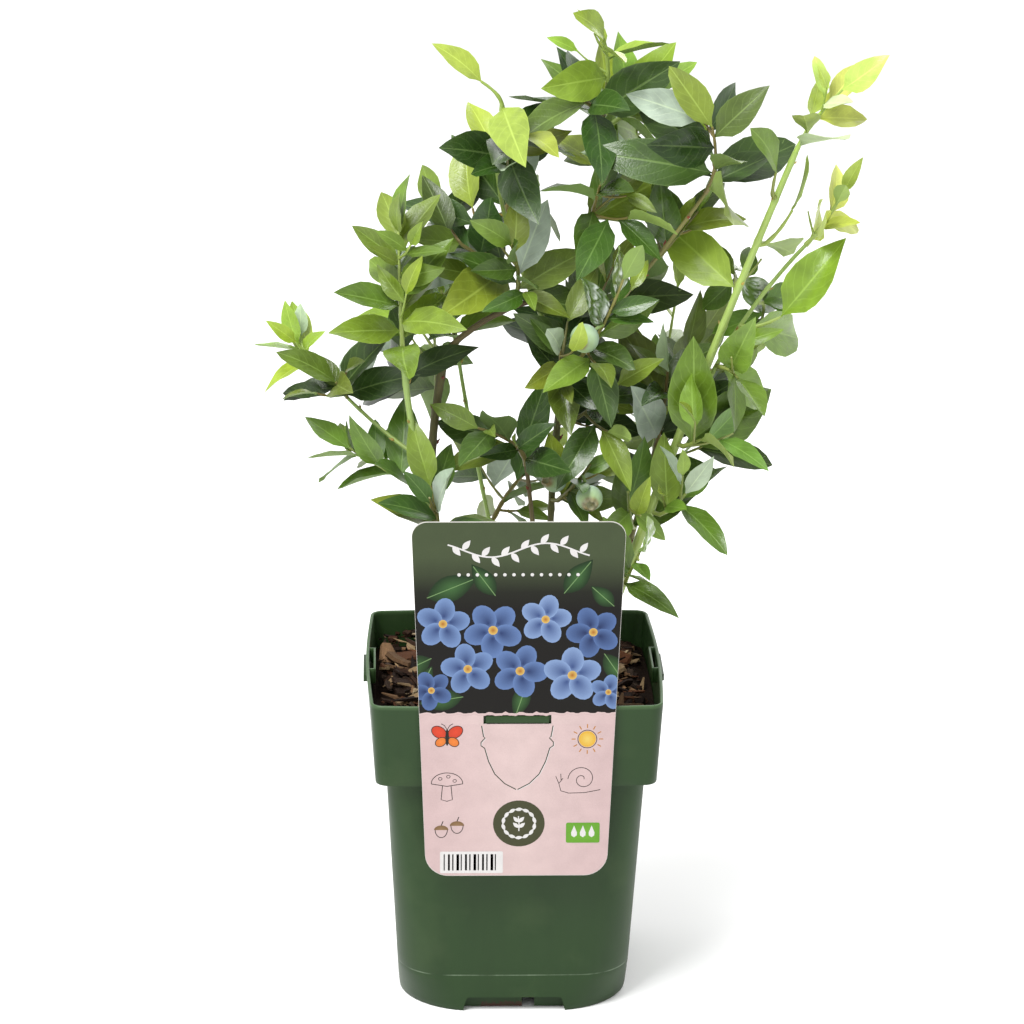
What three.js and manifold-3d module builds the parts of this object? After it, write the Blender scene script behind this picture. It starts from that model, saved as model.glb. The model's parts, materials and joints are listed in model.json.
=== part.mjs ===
// A highbush blueberry in its square nursery pot, with bark-topped potting mix and a hanging plant label.
//
// Millimetres, +Z up, +Y towards the back. The origin is the middle of the pot's underside.
// The bush is grown in three steps: canes stand on the mix, boughs leave the canes, and masses of
// foliage leave the limbs. Each mass is one shoot whose twigs, leaves and berries follow a seeded rule.
// Anything that would leave the crown, or cut through what has grown before it, is skipped.

import * as THREE from 'three';
import { mergeVertices } from 'three/addons/utils/BufferGeometryUtils.js';
import Module from 'manifold-3d';

const wasm = await Module();
wasm.setup();

// ---------------------------------------------------------------- driving dimensions

const GAP = 0.3; // clearance between neighbouring pieces

// The pot's outer wall: height, half width between flats, corner radius and outward bow of the flats.
const POT_WALL = [
  { z: 0, half: 52.0, corner: 35, bow: 0 },
  { z: 18, half: 52.8, corner: 23, bow: 0.4 },
  { z: 113.8, half: 57.8, corner: 9, bow: 0.8 },
  { z: 113.8, half: 62.7, corner: 6, bow: 1.2 },
  { z: 152.5, half: 65.0, corner: 6, bow: 2.0 },
];
const POT = {
  thickness: 1.5,
  floorBottom: 6.5,
  floorTop: 8.5,
  skirt: 2.2,
  archTop: 7,
  archWidthTop: 43,
  archWidthFoot: 47,
  innerWallHalf: 47,
  innerWallFoot: 2.3,
  innerWallGap: 5.5,
  bossRadius: 8,
  holeRadius: 3.5,
  holeReach: 27,
};
const LABEL_REST = { length: 28, height: 3.2, bottom: 145.7, proud: 68.1 };
const POCKET = { length: 29, slot: 2, strip: 1, leg: 1.2, bottom: 145, top: 152 };

const LABEL = {
  bottom: 73,
  top: 239,
  halfWidthTop: 47,
  halfWidthFoot: 40.3,
  cornerTop: 7,
  cornerFoot: 10,
  front: 67.9,
  thickness: 0.8,
  window: { halfWidth: 15, bottom: 145.2, top: 149.4 },
};

// Potting mix: flat where the canes stand, falling towards the pot's wall, with bark chips in the top.
const MIX = { top: 140.5, flatHalf: 44, edgeTop: 135.5, wallGap: 0.4 };
const CHIPS = { count: 32, length: [9, 24], width: [3.5, 7.5], height: [2.2, 4], reach: 53, seed: 5 };

const LEAF = {
  rimPoints: 6,
  thickness: 0.012, // of its length
  halfWidth: 0.215, // of its length
  fold: 0.22, // how far the margins rise, of the half width
  curl: 0.1, // how far the tip drops, of the length
  sink: 0.7, // how deep the root sits in its twig
  tiltLow: 1.15,
  tiltHigh: 0.6,
  sag: 0.22,
  outward: 0.4, // how far a face turns out of the crown, against 1 for up
  light: 0.8, // how far a face turns to the front, where the light comes from
  sway: 1.6, // how far a face strays from that
  tries: 5,
};
const CANE_FOOT = 4; // length cut from each cane so that its foot is level
const TWIG = { radius: 0.95, tipRadius: 0.55, tilt: 0.85, share: 0.55, leaves: 3 };
const STEM = { radius: 1.35, tipRadius: 0.65 };
const BERRY = { radius: 6.1, stalk: 5, stalkRadius: 0.7 };
const TURN = 2.39996; // the golden angle, from one leaf to the next

const CLEARANCE = 2.2; // kept between two blades
const CROWN = { left: -123, right: 171, front: -112, back: 112, bottom: 160, top: 455 };
const LABEL_ROOM = { halfWidth: 53, back: -56, top: 246 };

// Canes: name, foot [x, y], point passed half-way, tip, foot and tip radius, colour.
const CANES = [
  ['cane_left_green', [-18, -12], [-40, -19, 232], [-50, -24, 300], 2.9, 1.6, 0x87a053],
  ['cane_thin_green', [6, 14], [-14, 15, 228], [-26, 15, 296], 1.6, 0.9, 0x8fac57],
  ['cane_old_brown', [-24, 2], [-37, -1, 222], [-31, -4, 297], 3.0, 2.2, 0x5d4c37],
  ['cane_centre', [19, 7], [17, 5, 226], [25, 2, 306], 2.8, 2.0, 0x5a5238],
  ['cane_centre_twig', [13, -7], [10, -7, 196], [5, -8, 246], 1.6, 1.1, 0x6a5640],
  ['cane_right_green', [31, -4], [79, -12, 278], [121, -18, 392], 3.4, 1.5, 0x93ab57],
  ['cane_inner_right', [35, 10], [52, 10, 200], [64, 8, 250], 2.2, 1.5, 0x6f6a42],
];

// Boughs: name, limb that carries it, place along that limb, point passed half-way, tip, radii, colour.
const BOUGHS = [
  ['bough_brown_arm', 'cane_old_brown', 1, [-11, -8, 315], [11, -7, 323], 2.0, 1.4, 0x54432f],
  ['bough_upper_left', 'cane_centre', 0.93, [-5, 2, 358], [-7, -4, 407], 1.7, 0.9, 0x7d9448],
  ['bough_top', 'cane_centre', 1, [34, 12, 364], [40, 14, 416], 1.8, 0.9, 0x76803f],
  ['bough_upper_right', 'cane_centre', 0.96, [56, -9, 335], [82, -16, 373], 1.9, 1.2, 0x6b5a3c],
  ['bough_right_thin', 'cane_right_green', 0.5, [102, -6, 314], [128, -2, 346], 1.5, 1.0, 0x8ba554],
  ['bough_left_reach', 'cane_left_green', 0.66, [-66, -8, 269], [-90, 6, 290], 1.3, 0.8, 0x86a050],
];

// Masses of foliage: name, limb, place along it, tip of the shoot, leaves on the shoot, side twigs,
// leaf length, berries, tone of the leaves, seed.
const MASSES = [
  ['right_cane_top', 'cane_right_green', 1, [140, -24, 421], 5, 0, 36, 0, 'lime', 4615],
  ['right_cane_narrow', 'cane_right_green', 0.9, [112, -26, 385], 1, 0, 44, 0, 'mid', 7347],
  ['right_cane_upper', 'cane_right_green', 0.8, [121, -10, 364], 2, 0, 40, 0, 'lime', 5944],
  ['right_shoot_top', 'bough_right_thin', 1, [144, -2, 370], 6, 0, 28, 0, 'lime', 630],
  ['right_folded', 'bough_right_thin', 0.45, [117, -12, 316], 2, 0, 52, 0, 'lime', 7478],
  ['left_cane_top', 'cane_left_green', 1, [-52, -26, 360], 14, 0, 34, 0, 'pale', 1347],
  ['left_tip', 'bough_left_reach', 1, [-97, 8, 298], 4, 0, 28, 0, 'lime', 2363],
  ['left_dark', 'bough_left_reach', 0.7, [-80, -8, 285], 7, 0, 36, 0, 'dark', 2451],
  ['top_right', 'bough_upper_right', 1, [84, -22, 404], 8, 0, 50, 0, 'dark', 2499],
  ['top_tip', 'bough_top', 1, [38, 8, 437], 3, 0, 36, 0, 'lime', 7036],
  ['top_left', 'bough_top', 0.85, [28, -4, 412], 6, 0, 42, 0, 'dark', 413],
  ['top_lime', 'bough_top', 0.8, [58, 18, 410], 6, 0, 42, 0, 'lime', 872],
  ['left_centre_tip', 'bough_upper_left', 1, [-16, -8, 421], 2, 0, 40, 0, 'lime', 4739],
  ['left_centre_top', 'bough_upper_left', 0.75, [2, -14, 398], 8, 0, 38, 0, 'dark', 869],
  ['right_low', 'cane_right_green', 0.42, [82, -24, 263], 3, 0, 46, 0, 'mid', 3],
  ['right_lowest', 'cane_right_green', 0.3, [76, -18, 236], 4, 0, 34, 0, 'mid', 2666],
  ['right_round', 'bough_right_thin', 0.2, [98, -20, 290], 3, 0, 42, 0, 'mid', 7349],
  ['right_glossy', 'cane_right_green', 0.7, [97, 10, 332], 5, 0, 38, 0, 'mid', 2982],
  ['right_shoot_middle', 'bough_right_thin', 0.6, [110, 8, 308], 5, 0, 30, 0, 'mid', 1438],
  ['left_low', 'cane_left_green', 0.55, [-74, -10, 255], 7, 0, 34, 0, 'mid', 1349],
  ['left_cane_side', 'cane_left_green', 0.86, [-50, -2, 303], 5, 0, 34, 0, 'dark', 3935],
  ['left_centre_low', 'bough_upper_left', 0.3, [-34, -6, 355], 8, 1, 42, 0, 'dark', 1776],
  ['centre_left', 'bough_brown_arm', 0.75, [-3, -24, 352], 8, 0, 34, 0, 'deep', 737],
  ['top_middle', 'bough_top', 0.4, [36, -14, 376], 7, 1, 38, 0, 'deep', 1827],
  ['top_right_low', 'bough_upper_right', 0.6, [80, -4, 362], 7, 0, 34, 0, 'deep', 1574],
  ['centre_knot', 'cane_centre', 0.9, [46, -30, 338], 8, 1, 32, 1, 'deep', 1131],
  ['centre_middle', 'cane_centre', 0.85, [19, -24, 304], 8, 1, 32, 0, 'dark', 1087],
  ['centre_right', 'cane_centre', 0.72, [45, -10, 284], 8, 1, 32, 0, 'dark', 1045],
  ['centre_low', 'cane_centre', 0.5, [33, -22, 251], 7, 0, 26, 2, 'deep', 2368],
  ['centre_low_left', 'cane_centre_twig', 1, [-17, -16, 266], 7, 0, 34, 0, 'dark', 283],
  ['right_inner', 'cane_inner_right', 1, [68, -2, 288], 8, 1, 40, 0, 'dark', 2029],
  ['label_right', 'cane_inner_right', 0.6, [50, -22, 238], 5, 0, 34, 1, 'mid', 1580],
  ['label_hanging', 'cane_right_green', 0.18, [55, -34, 214], 3, 0, 34, 0, 'mid', 5905],
  ['left_foot', 'cane_left_green', 0.42, [-38, -28, 243], 6, 0, 36, 0, 'deep', 3695],
  ['thin_shoot_top', 'cane_thin_green', 1, [-33, 19, 320], 9, 0, 24, 0, 'mid', 1920],
  ['top_back', 'bough_top', 0.6, [58, 48, 386], 6, 1, 40, 0, 'mid', 2602],
  ['left_centre_back', 'bough_upper_left', 0.5, [5, 46, 362], 7, 1, 38, 0, 'dark', 2305],
  ['centre_back', 'cane_centre', 0.9, [40, 50, 308], 8, 1, 38, 1, 'dark', 536],
  ['right_back', 'cane_inner_right', 0.7, [84, 42, 290], 7, 1, 36, 0, 'deep', 1411],
  ['pale_sprig', 'cane_inner_right', 0.97, [76, 60, 310], 4, 0, 22, 0, 'pale', 2480],
  ['left_back', 'cane_old_brown', 0.85, [-36, 46, 296], 8, 1, 34, 0, 'mid', 2024],
  ['low_back', 'cane_thin_green', 0.4, [16, 56, 232], 7, 1, 32, 0, 'deep', 2398],
];

const TONES = { dark: 0x2f4f27, deep: 0x3c6330, mid: 0x55803a, lime: 0x83a644, pale: 0x9dba66 };
const COLOURS = { pot: 0x40573a, mix: 0x4a382a, label: 0x6c6f5c };

// ---------------------------------------------------------------- solids

// Merges a closed geometry's shared vertices and hands it to the solid modeller.
function solid(geometry) {
  const bare = geometry.index ? geometry.toNonIndexed() : geometry.clone();
  bare.deleteAttribute('normal');
  bare.deleteAttribute('uv');
  const merged = mergeVertices(bare, 1e-4);
  return new wasm.Manifold(
    new wasm.Mesh({
      numProp: 3,
      vertProperties: new Float32Array(merged.attributes.position.array),
      triVerts: new Uint32Array(merged.index.array),
    }),
  );
}

// The largest body of a solid, without loose scraps and sealed hollows.
function largestBody(body) {
  return body.decompose().reduce((best, next) => (next.volume() > best.volume() ? next : best));
}

function namedMesh(name, body, colour, roughness) {
  const { vertProperties, triVerts } = body.getMesh();
  const geometry = new THREE.BufferGeometry();
  geometry.setAttribute('position', new THREE.BufferAttribute(new Float32Array(vertProperties), 3));
  geometry.setIndex(new THREE.BufferAttribute(new Uint32Array(triVerts), 1));
  geometry.computeVertexNormals();
  const mesh = new THREE.Mesh(
    geometry,
    new THREE.MeshStandardMaterial({ color: colour, roughness, metalness: 0 }),
  );
  mesh.name = name;
  return mesh;
}

// A cylinder of `sides` by `steps` whose vertices are put where `place` says: it gets the step,
// the side, and 0 for the middle of an end cap or 1 for the rim.
function shapedCylinder(sides, steps, place) {
  const geometry = new THREE.CylinderGeometry(1, 1, 1, sides, steps);
  const position = geometry.attributes.position;
  for (let i = 0; i < position.count; i += 1) {
    const [x, y, z] = [position.getX(i), position.getY(i), position.getZ(i)];
    const step = Math.round((y + 0.5) * steps);
    const side = Math.round((Math.atan2(x, z) / (2 * Math.PI) + 1) * sides) % sides;
    const point = place(step, side, Math.round(Math.hypot(x, z)));
    position.setXYZ(i, point.x, point.y, point.z);
  }
  return solid(geometry);
}

function box(width, depth, height, x, y, z) {
  return solid(new THREE.BoxGeometry(width, depth, height).translate(x, y, z));
}

function taperedTube(curve, radiusAt, sides, steps) {
  const frames = curve.computeFrenetFrames(steps);
  return shapedCylinder(sides, steps, (step, side, rim) => {
    const angle = (side / sides) * 2 * Math.PI;
    const radius = rim * radiusAt(step / steps);
    return curve
      .getPointAt(step / steps)
      .addScaledVector(frames.normals[step], radius * Math.cos(angle))
      .addScaledVector(frames.binormals[step], radius * Math.sin(angle));
  });
}

// ---------------------------------------------------------------- pot

const CORNER_STEPS = 4; // chords in one corner's arc
const FLAT_STEPS = 4; // chords along one flat
const RING_SIDES = 4 * (CORNER_STEPS + FLAT_STEPS);

// One point of a square ring with round corners and flats that bow outwards.
function ringPoint({ half, corner, bow }, side) {
  const perQuarter = RING_SIDES / 4;
  const quarter = Math.floor(side / perQuarter);
  const place = side % perQuarter;
  const centre = half - corner;
  const point = new THREE.Vector3();
  if (place <= CORNER_STEPS) {
    const angle = (place / CORNER_STEPS) * (Math.PI / 2);
    point.set(centre + corner * Math.cos(angle), centre + corner * Math.sin(angle), 0);
  } else {
    const share = (place - CORNER_STEPS) / FLAT_STEPS;
    point.set(centre * (1 - 2 * share), half + bow * Math.sin(Math.PI * share), 0);
  }
  return point.applyAxisAngle(new THREE.Vector3(0, 0, 1), (quarter * Math.PI) / 2);
}

function squareLoft(rings) {
  return shapedCylinder(RING_SIDES, rings.length - 1, (step, side, rim) => {
    const point = ringPoint(rings[step], side).multiplyScalar(rim);
    return point.setZ(rings[step].z);
  });
}

// The wall's ring at a height between two of the rings above, pulled in by `inset`.
function wallRing(low, high, z, inset) {
  const share = (z - low.z) / (high.z - low.z);
  const mix = (key) => THREE.MathUtils.lerp(low[key], high[key], share);
  return { z, half: mix('half') - inset, corner: Math.max(mix('corner') - inset, 3), bow: mix('bow') };
}

// Rings of what fits inside the pot: it follows the wall, and steps out over the collar's ledge.
function insideRings(inset, bottom, ledge, top) {
  const [foot, seam, shoulder, collar, rim] = POT_WALL;
  return [
    wallRing(foot, seam, bottom, inset),
    wallRing(foot, seam, seam.z, inset),
    wallRing(seam, shoulder, ledge, inset),
    wallRing(collar, rim, ledge, inset),
    wallRing(collar, rim, top, inset),
  ];
}

function skirtArch() {
  const outline = new THREE.Shape();
  outline.moveTo(-POT.archWidthFoot / 2, -1);
  outline.lineTo(POT.archWidthFoot / 2, -1);
  outline.lineTo(POT.archWidthTop / 2, POT.archTop);
  outline.lineTo(-POT.archWidthTop / 2, POT.archTop);
  const depth = 8;
  const arch = new THREE.ExtrudeGeometry(outline, { depth, bevelEnabled: false });
  arch.rotateX(Math.PI / 2);
  arch.translate(0, -POT_WALL[0].half + depth - 2, 0);
  return solid(arch);
}

function innerWall() {
  const ring = (half, z) => ({ z, half, corner: 24, bow: 0 });
  const { innerWallHalf: half, innerWallFoot: foot, floorTop: top, innerWallGap: gap } = POT;
  const outer = squareLoft([ring(half, foot), ring(half, top - 1)]);
  const inner = squareLoft([ring(half - POT.thickness, foot - 1), ring(half - POT.thickness, top)]);
  const gaps = box(gap, 2.2 * half, 2 * foot, gap, 0, foot).add(box(2.2 * half, gap, 2 * foot, 0, gap, foot));
  return outer.subtract(inner).subtract(gaps);
}

function pocket() {
  const { length, slot, strip, leg, bottom, top } = POCKET;
  const wallInside = POT_WALL[4].half + POT_WALL[4].bow - POT.thickness;
  const outer = wallInside + 0.7;
  const inner = wallInside - slot - strip;
  const middle = (bottom + top) / 2;
  const frame = box(length, outer - inner, top - bottom, 0, -(outer + inner) / 2, middle);
  return frame.subtract(box(length - 2 * leg, slot + 0.7, top, 0, -(outer - (slot + 0.7) / 2), middle));
}

function labelRest() {
  const { length, height, bottom, proud } = LABEL_REST;
  const root = POT_WALL[4].half;
  return box(length, proud - root, height, 0, -(proud + root) / 2, bottom + height / 2);
}

function drainHole(x, y) {
  const hole = new THREE.CylinderGeometry(POT.holeRadius, POT.holeRadius, POT.floorTop * 2, 8);
  return solid(hole.rotateX(Math.PI / 2).translate(x, y, POT.floorTop));
}

function quarterTurns(makeOne) {
  return [0, 90, 180, 270].map((angle) => makeOne().rotate([0, 0, angle]));
}

function makePot() {
  const { thickness, skirt, floorBottom, floorTop, holeReach } = POT;
  const [foot, seam, shoulder, collar, rim] = POT_WALL;
  let pot = squareLoft(POT_WALL);
  pot = pot.subtract(squareLoft(insideRings(thickness, floorTop, shoulder.z + thickness, rim.z + 1)));
  const underFloor = [wallRing(foot, seam, -1, skirt), wallRing(foot, seam, floorBottom, skirt)];
  pot = pot.subtract(squareLoft(underFloor));
  quarterTurns(skirtArch).forEach((arch) => {
    pot = pot.subtract(arch);
  });
  pot = pot.add(innerWall());
  const boss = new THREE.CylinderGeometry(POT.bossRadius, POT.bossRadius, floorTop - 0.5, 16);
  pot = pot.add(solid(boss.rotateX(Math.PI / 2).translate(0, 0, (floorTop - 0.5) / 2)));
  quarterTurns(() => drainHole(holeReach, holeReach)).forEach((hole) => {
    pot = pot.subtract(hole);
  });
  [...quarterTurns(pocket), ...quarterTurns(labelRest)].forEach((piece) => {
    pot = pot.add(piece);
  });
  return largestBody(pot);
}

// ---------------------------------------------------------------- label

function makeLabel() {
  const { bottom, top, halfWidthTop, halfWidthFoot, cornerTop, cornerFoot, window } = LABEL;
  const outline = new THREE.Shape();
  outline.moveTo(-halfWidthFoot + cornerFoot, bottom);
  outline.lineTo(halfWidthFoot - cornerFoot, bottom);
  outline.quadraticCurveTo(halfWidthFoot, bottom, halfWidthFoot + 0.4, bottom + cornerFoot);
  outline.lineTo(halfWidthTop, top - cornerTop);
  outline.quadraticCurveTo(halfWidthTop, top, halfWidthTop - cornerTop, top);
  outline.lineTo(-halfWidthTop + cornerTop, top);
  outline.quadraticCurveTo(-halfWidthTop, top, -halfWidthTop, top - cornerTop);
  outline.lineTo(-halfWidthFoot - 0.4, bottom + cornerFoot);
  outline.quadraticCurveTo(-halfWidthFoot, bottom, -halfWidthFoot + cornerFoot, bottom);
  const hole = new THREE.Path();
  hole.moveTo(-window.halfWidth, window.bottom);
  hole.lineTo(-window.halfWidth, window.top);
  hole.lineTo(window.halfWidth, window.top);
  hole.lineTo(window.halfWidth, window.bottom);
  hole.lineTo(-window.halfWidth, window.bottom);
  outline.holes.push(hole);
  const card = new THREE.ExtrudeGeometry(outline, {
    depth: LABEL.thickness,
    bevelEnabled: false,
    curveSegments: 4,
  });
  return solid(card.rotateX(Math.PI / 2).translate(0, LABEL.thickness - LABEL.front, 0));
}

// ---------------------------------------------------------------- chance

const DICE_MODULUS = 2147483647;
const DICE_STEP = 48271;

// A seeded source of even random numbers from 0 to 1.
function seededDice(seed) {
  let state = (seed * 7919 + 104729) % DICE_MODULUS;
  return () => {
    state = (state * DICE_STEP) % DICE_MODULUS;
    return state / DICE_MODULUS;
  };
}

function between([low, high], share) {
  return low + (high - low) * share;
}

// ---------------------------------------------------------------- potting mix and bark

function barkChip(dice) {
  const length = between(CHIPS.length, dice());
  const chip = new THREE.BoxGeometry(length, between(CHIPS.width, dice()), between(CHIPS.height, dice()));
  chip.rotateY((dice() - 0.5) * 0.7);
  chip.rotateZ(dice() * Math.PI);
  const x = (dice() - 0.5) * 2 * CHIPS.reach;
  const y = (dice() - 0.5) * 2 * CHIPS.reach;
  const edge = Math.max(Math.abs(x), Math.abs(y));
  const fall = Math.max(0, edge - MIX.flatHalf) / (POT_WALL[4].half - MIX.flatHalf);
  chip.translate(x, y, between([MIX.top, MIX.edgeTop], fall) + 0.6);
  const reach = edge + length / 2;
  const nearestCane = Math.min(...CANES.map(([, foot]) => Math.hypot(x - foot[0], y - foot[1])));
  const fits = nearestCane > length / 2 + 7 && reach < POT_WALL[3].half - 3;
  return { chip, fits };
}

function makeMix() {
  const inset = POT.thickness + MIX.wallGap;
  const ledge = POT_WALL[2].z + POT.thickness + MIX.wallGap;
  const rings = insideRings(inset, POT.floorTop + MIX.wallGap, ledge, MIX.edgeTop);
  rings.push({ z: MIX.top, half: MIX.flatHalf, corner: 12, bow: 0 });
  let mix = squareLoft(rings);
  const dice = seededDice(CHIPS.seed);
  for (let i = 0; i < CHIPS.count; i += 1) {
    const { chip, fits } = barkChip(dice);
    if (fits) mix = mix.add(solid(chip));
  }
  return largestBody(mix);
}

// ---------------------------------------------------------------- limbs

const vector = (point) => new THREE.Vector3(...point);

// A tapering limb on a smooth curve, with marks along it that keep other growth away.
function makeLimb(name, curve, footRadius, tipRadius, colour) {
  const radiusAt = (share) => THREE.MathUtils.lerp(footRadius, tipRadius, share);
  const count = Math.ceil(curve.v0.distanceTo(curve.v2) / 3);
  const marks = [];
  for (let i = 0; i <= count; i += 1) {
    marks.push({ point: curve.getPoint(i / count), radius: radiusAt(i / count) });
  }
  return { name, curve, radiusAt, marks, colour };
}

// The curve from start to tip that passes a given point half-way.
function curveThrough(start, middle, tip) {
  const control = middle.clone().multiplyScalar(2).addScaledVector(start, -0.5).addScaledVector(tip, -0.5);
  return new THREE.QuadraticBezierCurve3(start, control, tip);
}

// Where a branch starts, clear of the limb that carries it, and the way it sets off.
function branchStart(limb, at, target, radius) {
  const axis = limb.curve.getPoint(at);
  const along = limb.curve.getTangent(at);
  if (at === 1) return { start: axis.addScaledVector(along, GAP), heading: along };
  const outward = target.clone().sub(axis).projectOnPlane(along).normalize();
  const heading = outward.clone().addScaledVector(along, 0.7).normalize();
  const tiltedFoot = radius * Math.sqrt(1 - heading.dot(outward) ** 2);
  return { start: axis.addScaledVector(outward, limb.radiusAt(at) + GAP + tiltedFoot), heading };
}

function makeCanes() {
  return CANES.map(([name, foot, middle, tip, footRadius, tipRadius, colour]) => {
    const start = new THREE.Vector3(foot[0], foot[1], MIX.top + GAP - CANE_FOOT);
    return makeLimb(name, curveThrough(start, vector(middle), vector(tip)), footRadius, tipRadius, colour);
  });
}

function makeBoughs(canes) {
  return BOUGHS.map(([name, carrier, at, middle, tip, footRadius, tipRadius, colour]) => {
    const cane = canes.find((limb) => limb.name === carrier);
    const { start, heading } = branchStart(cane, at, vector(middle), footRadius);
    const lean = heading.angleTo(vector(middle).sub(start));
    if (at === 1) start.addScaledVector(heading, footRadius * Math.sin(lean));
    return makeLimb(name, curveThrough(start, vector(middle), vector(tip)), footRadius, tipRadius, colour);
  });
}

// ---------------------------------------------------------------- leaves

// A point of a leaf blade: u runs from root to tip, v from one margin (-1) to the other (1).
function bladePoint(blade, u, v) {
  const halfWidth = blade.halfWidth * Math.sin(Math.PI * u ** 0.9);
  const rise = LEAF.fold * Math.abs(v) * halfWidth - LEAF.curl * blade.length * u * u;
  return blade.root
    .clone()
    .addScaledVector(blade.along, u * blade.length)
    .addScaledVector(blade.across, v * halfWidth)
    .addScaledVector(blade.facing, rise);
}

// True where a point is nearer to the blade than the clearance. The first stretch from the root is
// left out, because that is where the leaf's own twig is.
function nearBlade(blade, point, clearance) {
  const offset = point.clone().sub(blade.root);
  const u = offset.dot(blade.along) / blade.length;
  if (u < 0.15 || u > 1 + clearance / blade.length) return false;
  const halfWidth = blade.halfWidth * Math.sin(Math.PI * Math.min(u, 1) ** 0.9);
  const v = Math.abs(offset.dot(blade.across));
  if (v > halfWidth + clearance) return false;
  const rise = LEAF.fold * Math.min(v, halfWidth) - LEAF.curl * blade.length * u * u;
  return Math.abs(offset.dot(blade.facing) - rise) < clearance;
}

function insideCrown(point) {
  const { left, right, front, back, bottom, top } = CROWN;
  if (point.x < left || point.x > right || point.y < front || point.y > back) return false;
  if (point.z < bottom || point.z > top) return false;
  const { halfWidth, back: labelBack, top: labelTop } = LABEL_ROOM;
  return !(Math.abs(point.x) < halfWidth && point.y < labelBack && point.z < labelTop);
}

function bladeSamples(blade) {
  const samples = [bladePoint(blade, 1, 0)];
  [0.25, 0.45, 0.65, 0.85].forEach((u) => {
    [-0.95, 0, 0.95].forEach((v) => samples.push(bladePoint(blade, u, v)));
  });
  return samples;
}

// The shoot's sideways direction that is `turn` round from its level side.
function aroundShoot(tangent, turn) {
  const reference = new THREE.Vector3(0, 0, 1);
  if (Math.abs(tangent.z) > 0.9) reference.set(1, 0, 0);
  const side = reference.cross(tangent).normalize();
  const other = tangent.clone().cross(side);
  return side.multiplyScalar(Math.cos(turn)).addScaledVector(other, Math.sin(turn));
}

// One leaf at a place along a shoot. It leaves at an angle that closes towards the tip, sags a
// little, and turns its face up and out of the crown.
function makeBlade(mass, shoot, at, slot, dice) {
  const tangent = shoot.curve.getTangent(at);
  const turn = slot * TURN + (dice() - 0.5) * 1.6;
  const spread = at === 1 ? 0.15 : THREE.MathUtils.lerp(LEAF.tiltLow, LEAF.tiltHigh, at);
  const tilt = spread + (dice() - 0.5) * 0.6;
  const along = aroundShoot(tangent, turn).multiplyScalar(Math.sin(tilt));
  along.addScaledVector(tangent, Math.cos(tilt));
  along.z -= LEAF.sag * dice();
  along.normalize();
  const root = shoot.curve.getPoint(at).addScaledVector(along, -LEAF.sink);
  const facing = new THREE.Vector3(root.x, root.y, 0).normalize().multiplyScalar(LEAF.outward);
  const sway = new THREE.Vector3(dice() - 0.5, dice() - 0.5, dice() - 0.5);
  facing.addScaledVector(sway, LEAF.sway);
  facing.y -= LEAF.light;
  facing.z += 1;
  facing.projectOnPlane(along).normalize();
  const length = mass.leafLength * THREE.MathUtils.lerp(1.1, 0.75, at) * (0.85 + 0.35 * dice());
  const blade = { root, along, facing, across: facing.clone().cross(along), length };
  blade.halfWidth = length * LEAF.halfWidth * (0.88 + 0.24 * dice());
  blade.centre = bladePoint(blade, 0.5, 0);
  blade.samples = bladeSamples(blade);
  return blade;
}

function bladeFits(blade, shoot, crowd) {
  if (!blade.samples.every(insideCrown)) return false;
  const reach = blade.length * 0.55;
  const meets = (other) =>
    other.samples.some((point) => nearBlade(blade, point, CLEARANCE)) ||
    blade.samples.some((point) => nearBlade(other, point, CLEARANCE));
  const nearby = crowd.blades.filter(
    (other) => other.centre.distanceTo(blade.centre) < reach + other.length * 0.55 + CLEARANCE,
  );
  if (nearby.some(meets)) return false;
  return !crowd.limbs.some(
    (limb) =>
      limb !== shoot &&
      limb.marks.some(
        ({ point, radius }) =>
          point.distanceTo(blade.centre) < reach + 4 && nearBlade(blade, point, radius + 1.3),
      ),
  );
}

// ---------------------------------------------------------------- masses of foliage

// The first of a few turns of chance that fits, or nothing.
function growBlade(mass, shoot, at, slot, crowd) {
  const dice = seededDice(mass.seed * 100 + slot);
  for (let attempt = 0; attempt < LEAF.tries; attempt += 1) {
    const blade = makeBlade(mass, shoot, at, slot, dice);
    if (bladeFits(blade, shoot, crowd)) return blade;
  }
  return null;
}

function shootFits(shoot, parent, crowd) {
  const clearOf = ({ point, radius }) =>
    insideCrown(point) &&
    !crowd.blades.some((blade) => nearBlade(blade, point, radius + 1.3)) &&
    !crowd.limbs.some(
      (limb) =>
        limb !== parent &&
        limb.marks.some((mark) => mark.point.distanceTo(point) < mark.radius + radius + 1.5),
    );
  return shoot.marks.slice(2).every(clearOf);
}

// A side twig leaves the stem at a set angle and turns up a little.
function growTwig(mass, stem, index, crowd) {
  const dice = seededDice(mass.seed * 100 + 60 + index);
  const at = between([0.25, 0.75], (index + dice()) / mass.twigs);
  for (let attempt = 0; attempt < LEAF.tries; attempt += 1) {
    const tangent = stem.curve.getTangent(at);
    const tilt = TWIG.tilt + (dice() - 0.5) * 0.5;
    const heading = aroundShoot(tangent, dice() * 2 * Math.PI).multiplyScalar(Math.sin(tilt));
    heading.addScaledVector(tangent, Math.cos(tilt));
    const length = mass.leafLength * TWIG.share * (0.9 + 0.4 * dice());
    const start = stem.curve.getPoint(at);
    const middle = start.clone().addScaledVector(heading, length * 0.5);
    const tip = middle.clone().addScaledVector(heading, length * 0.5);
    tip.z += length * 0.12;
    const curve = curveThrough(start, middle, tip);
    const twig = makeLimb(`${mass.name}_twig_${index}`, curve, TWIG.radius, TWIG.tipRadius);
    if (shootFits(twig, stem, crowd)) return twig;
  }
  return null;
}

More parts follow.
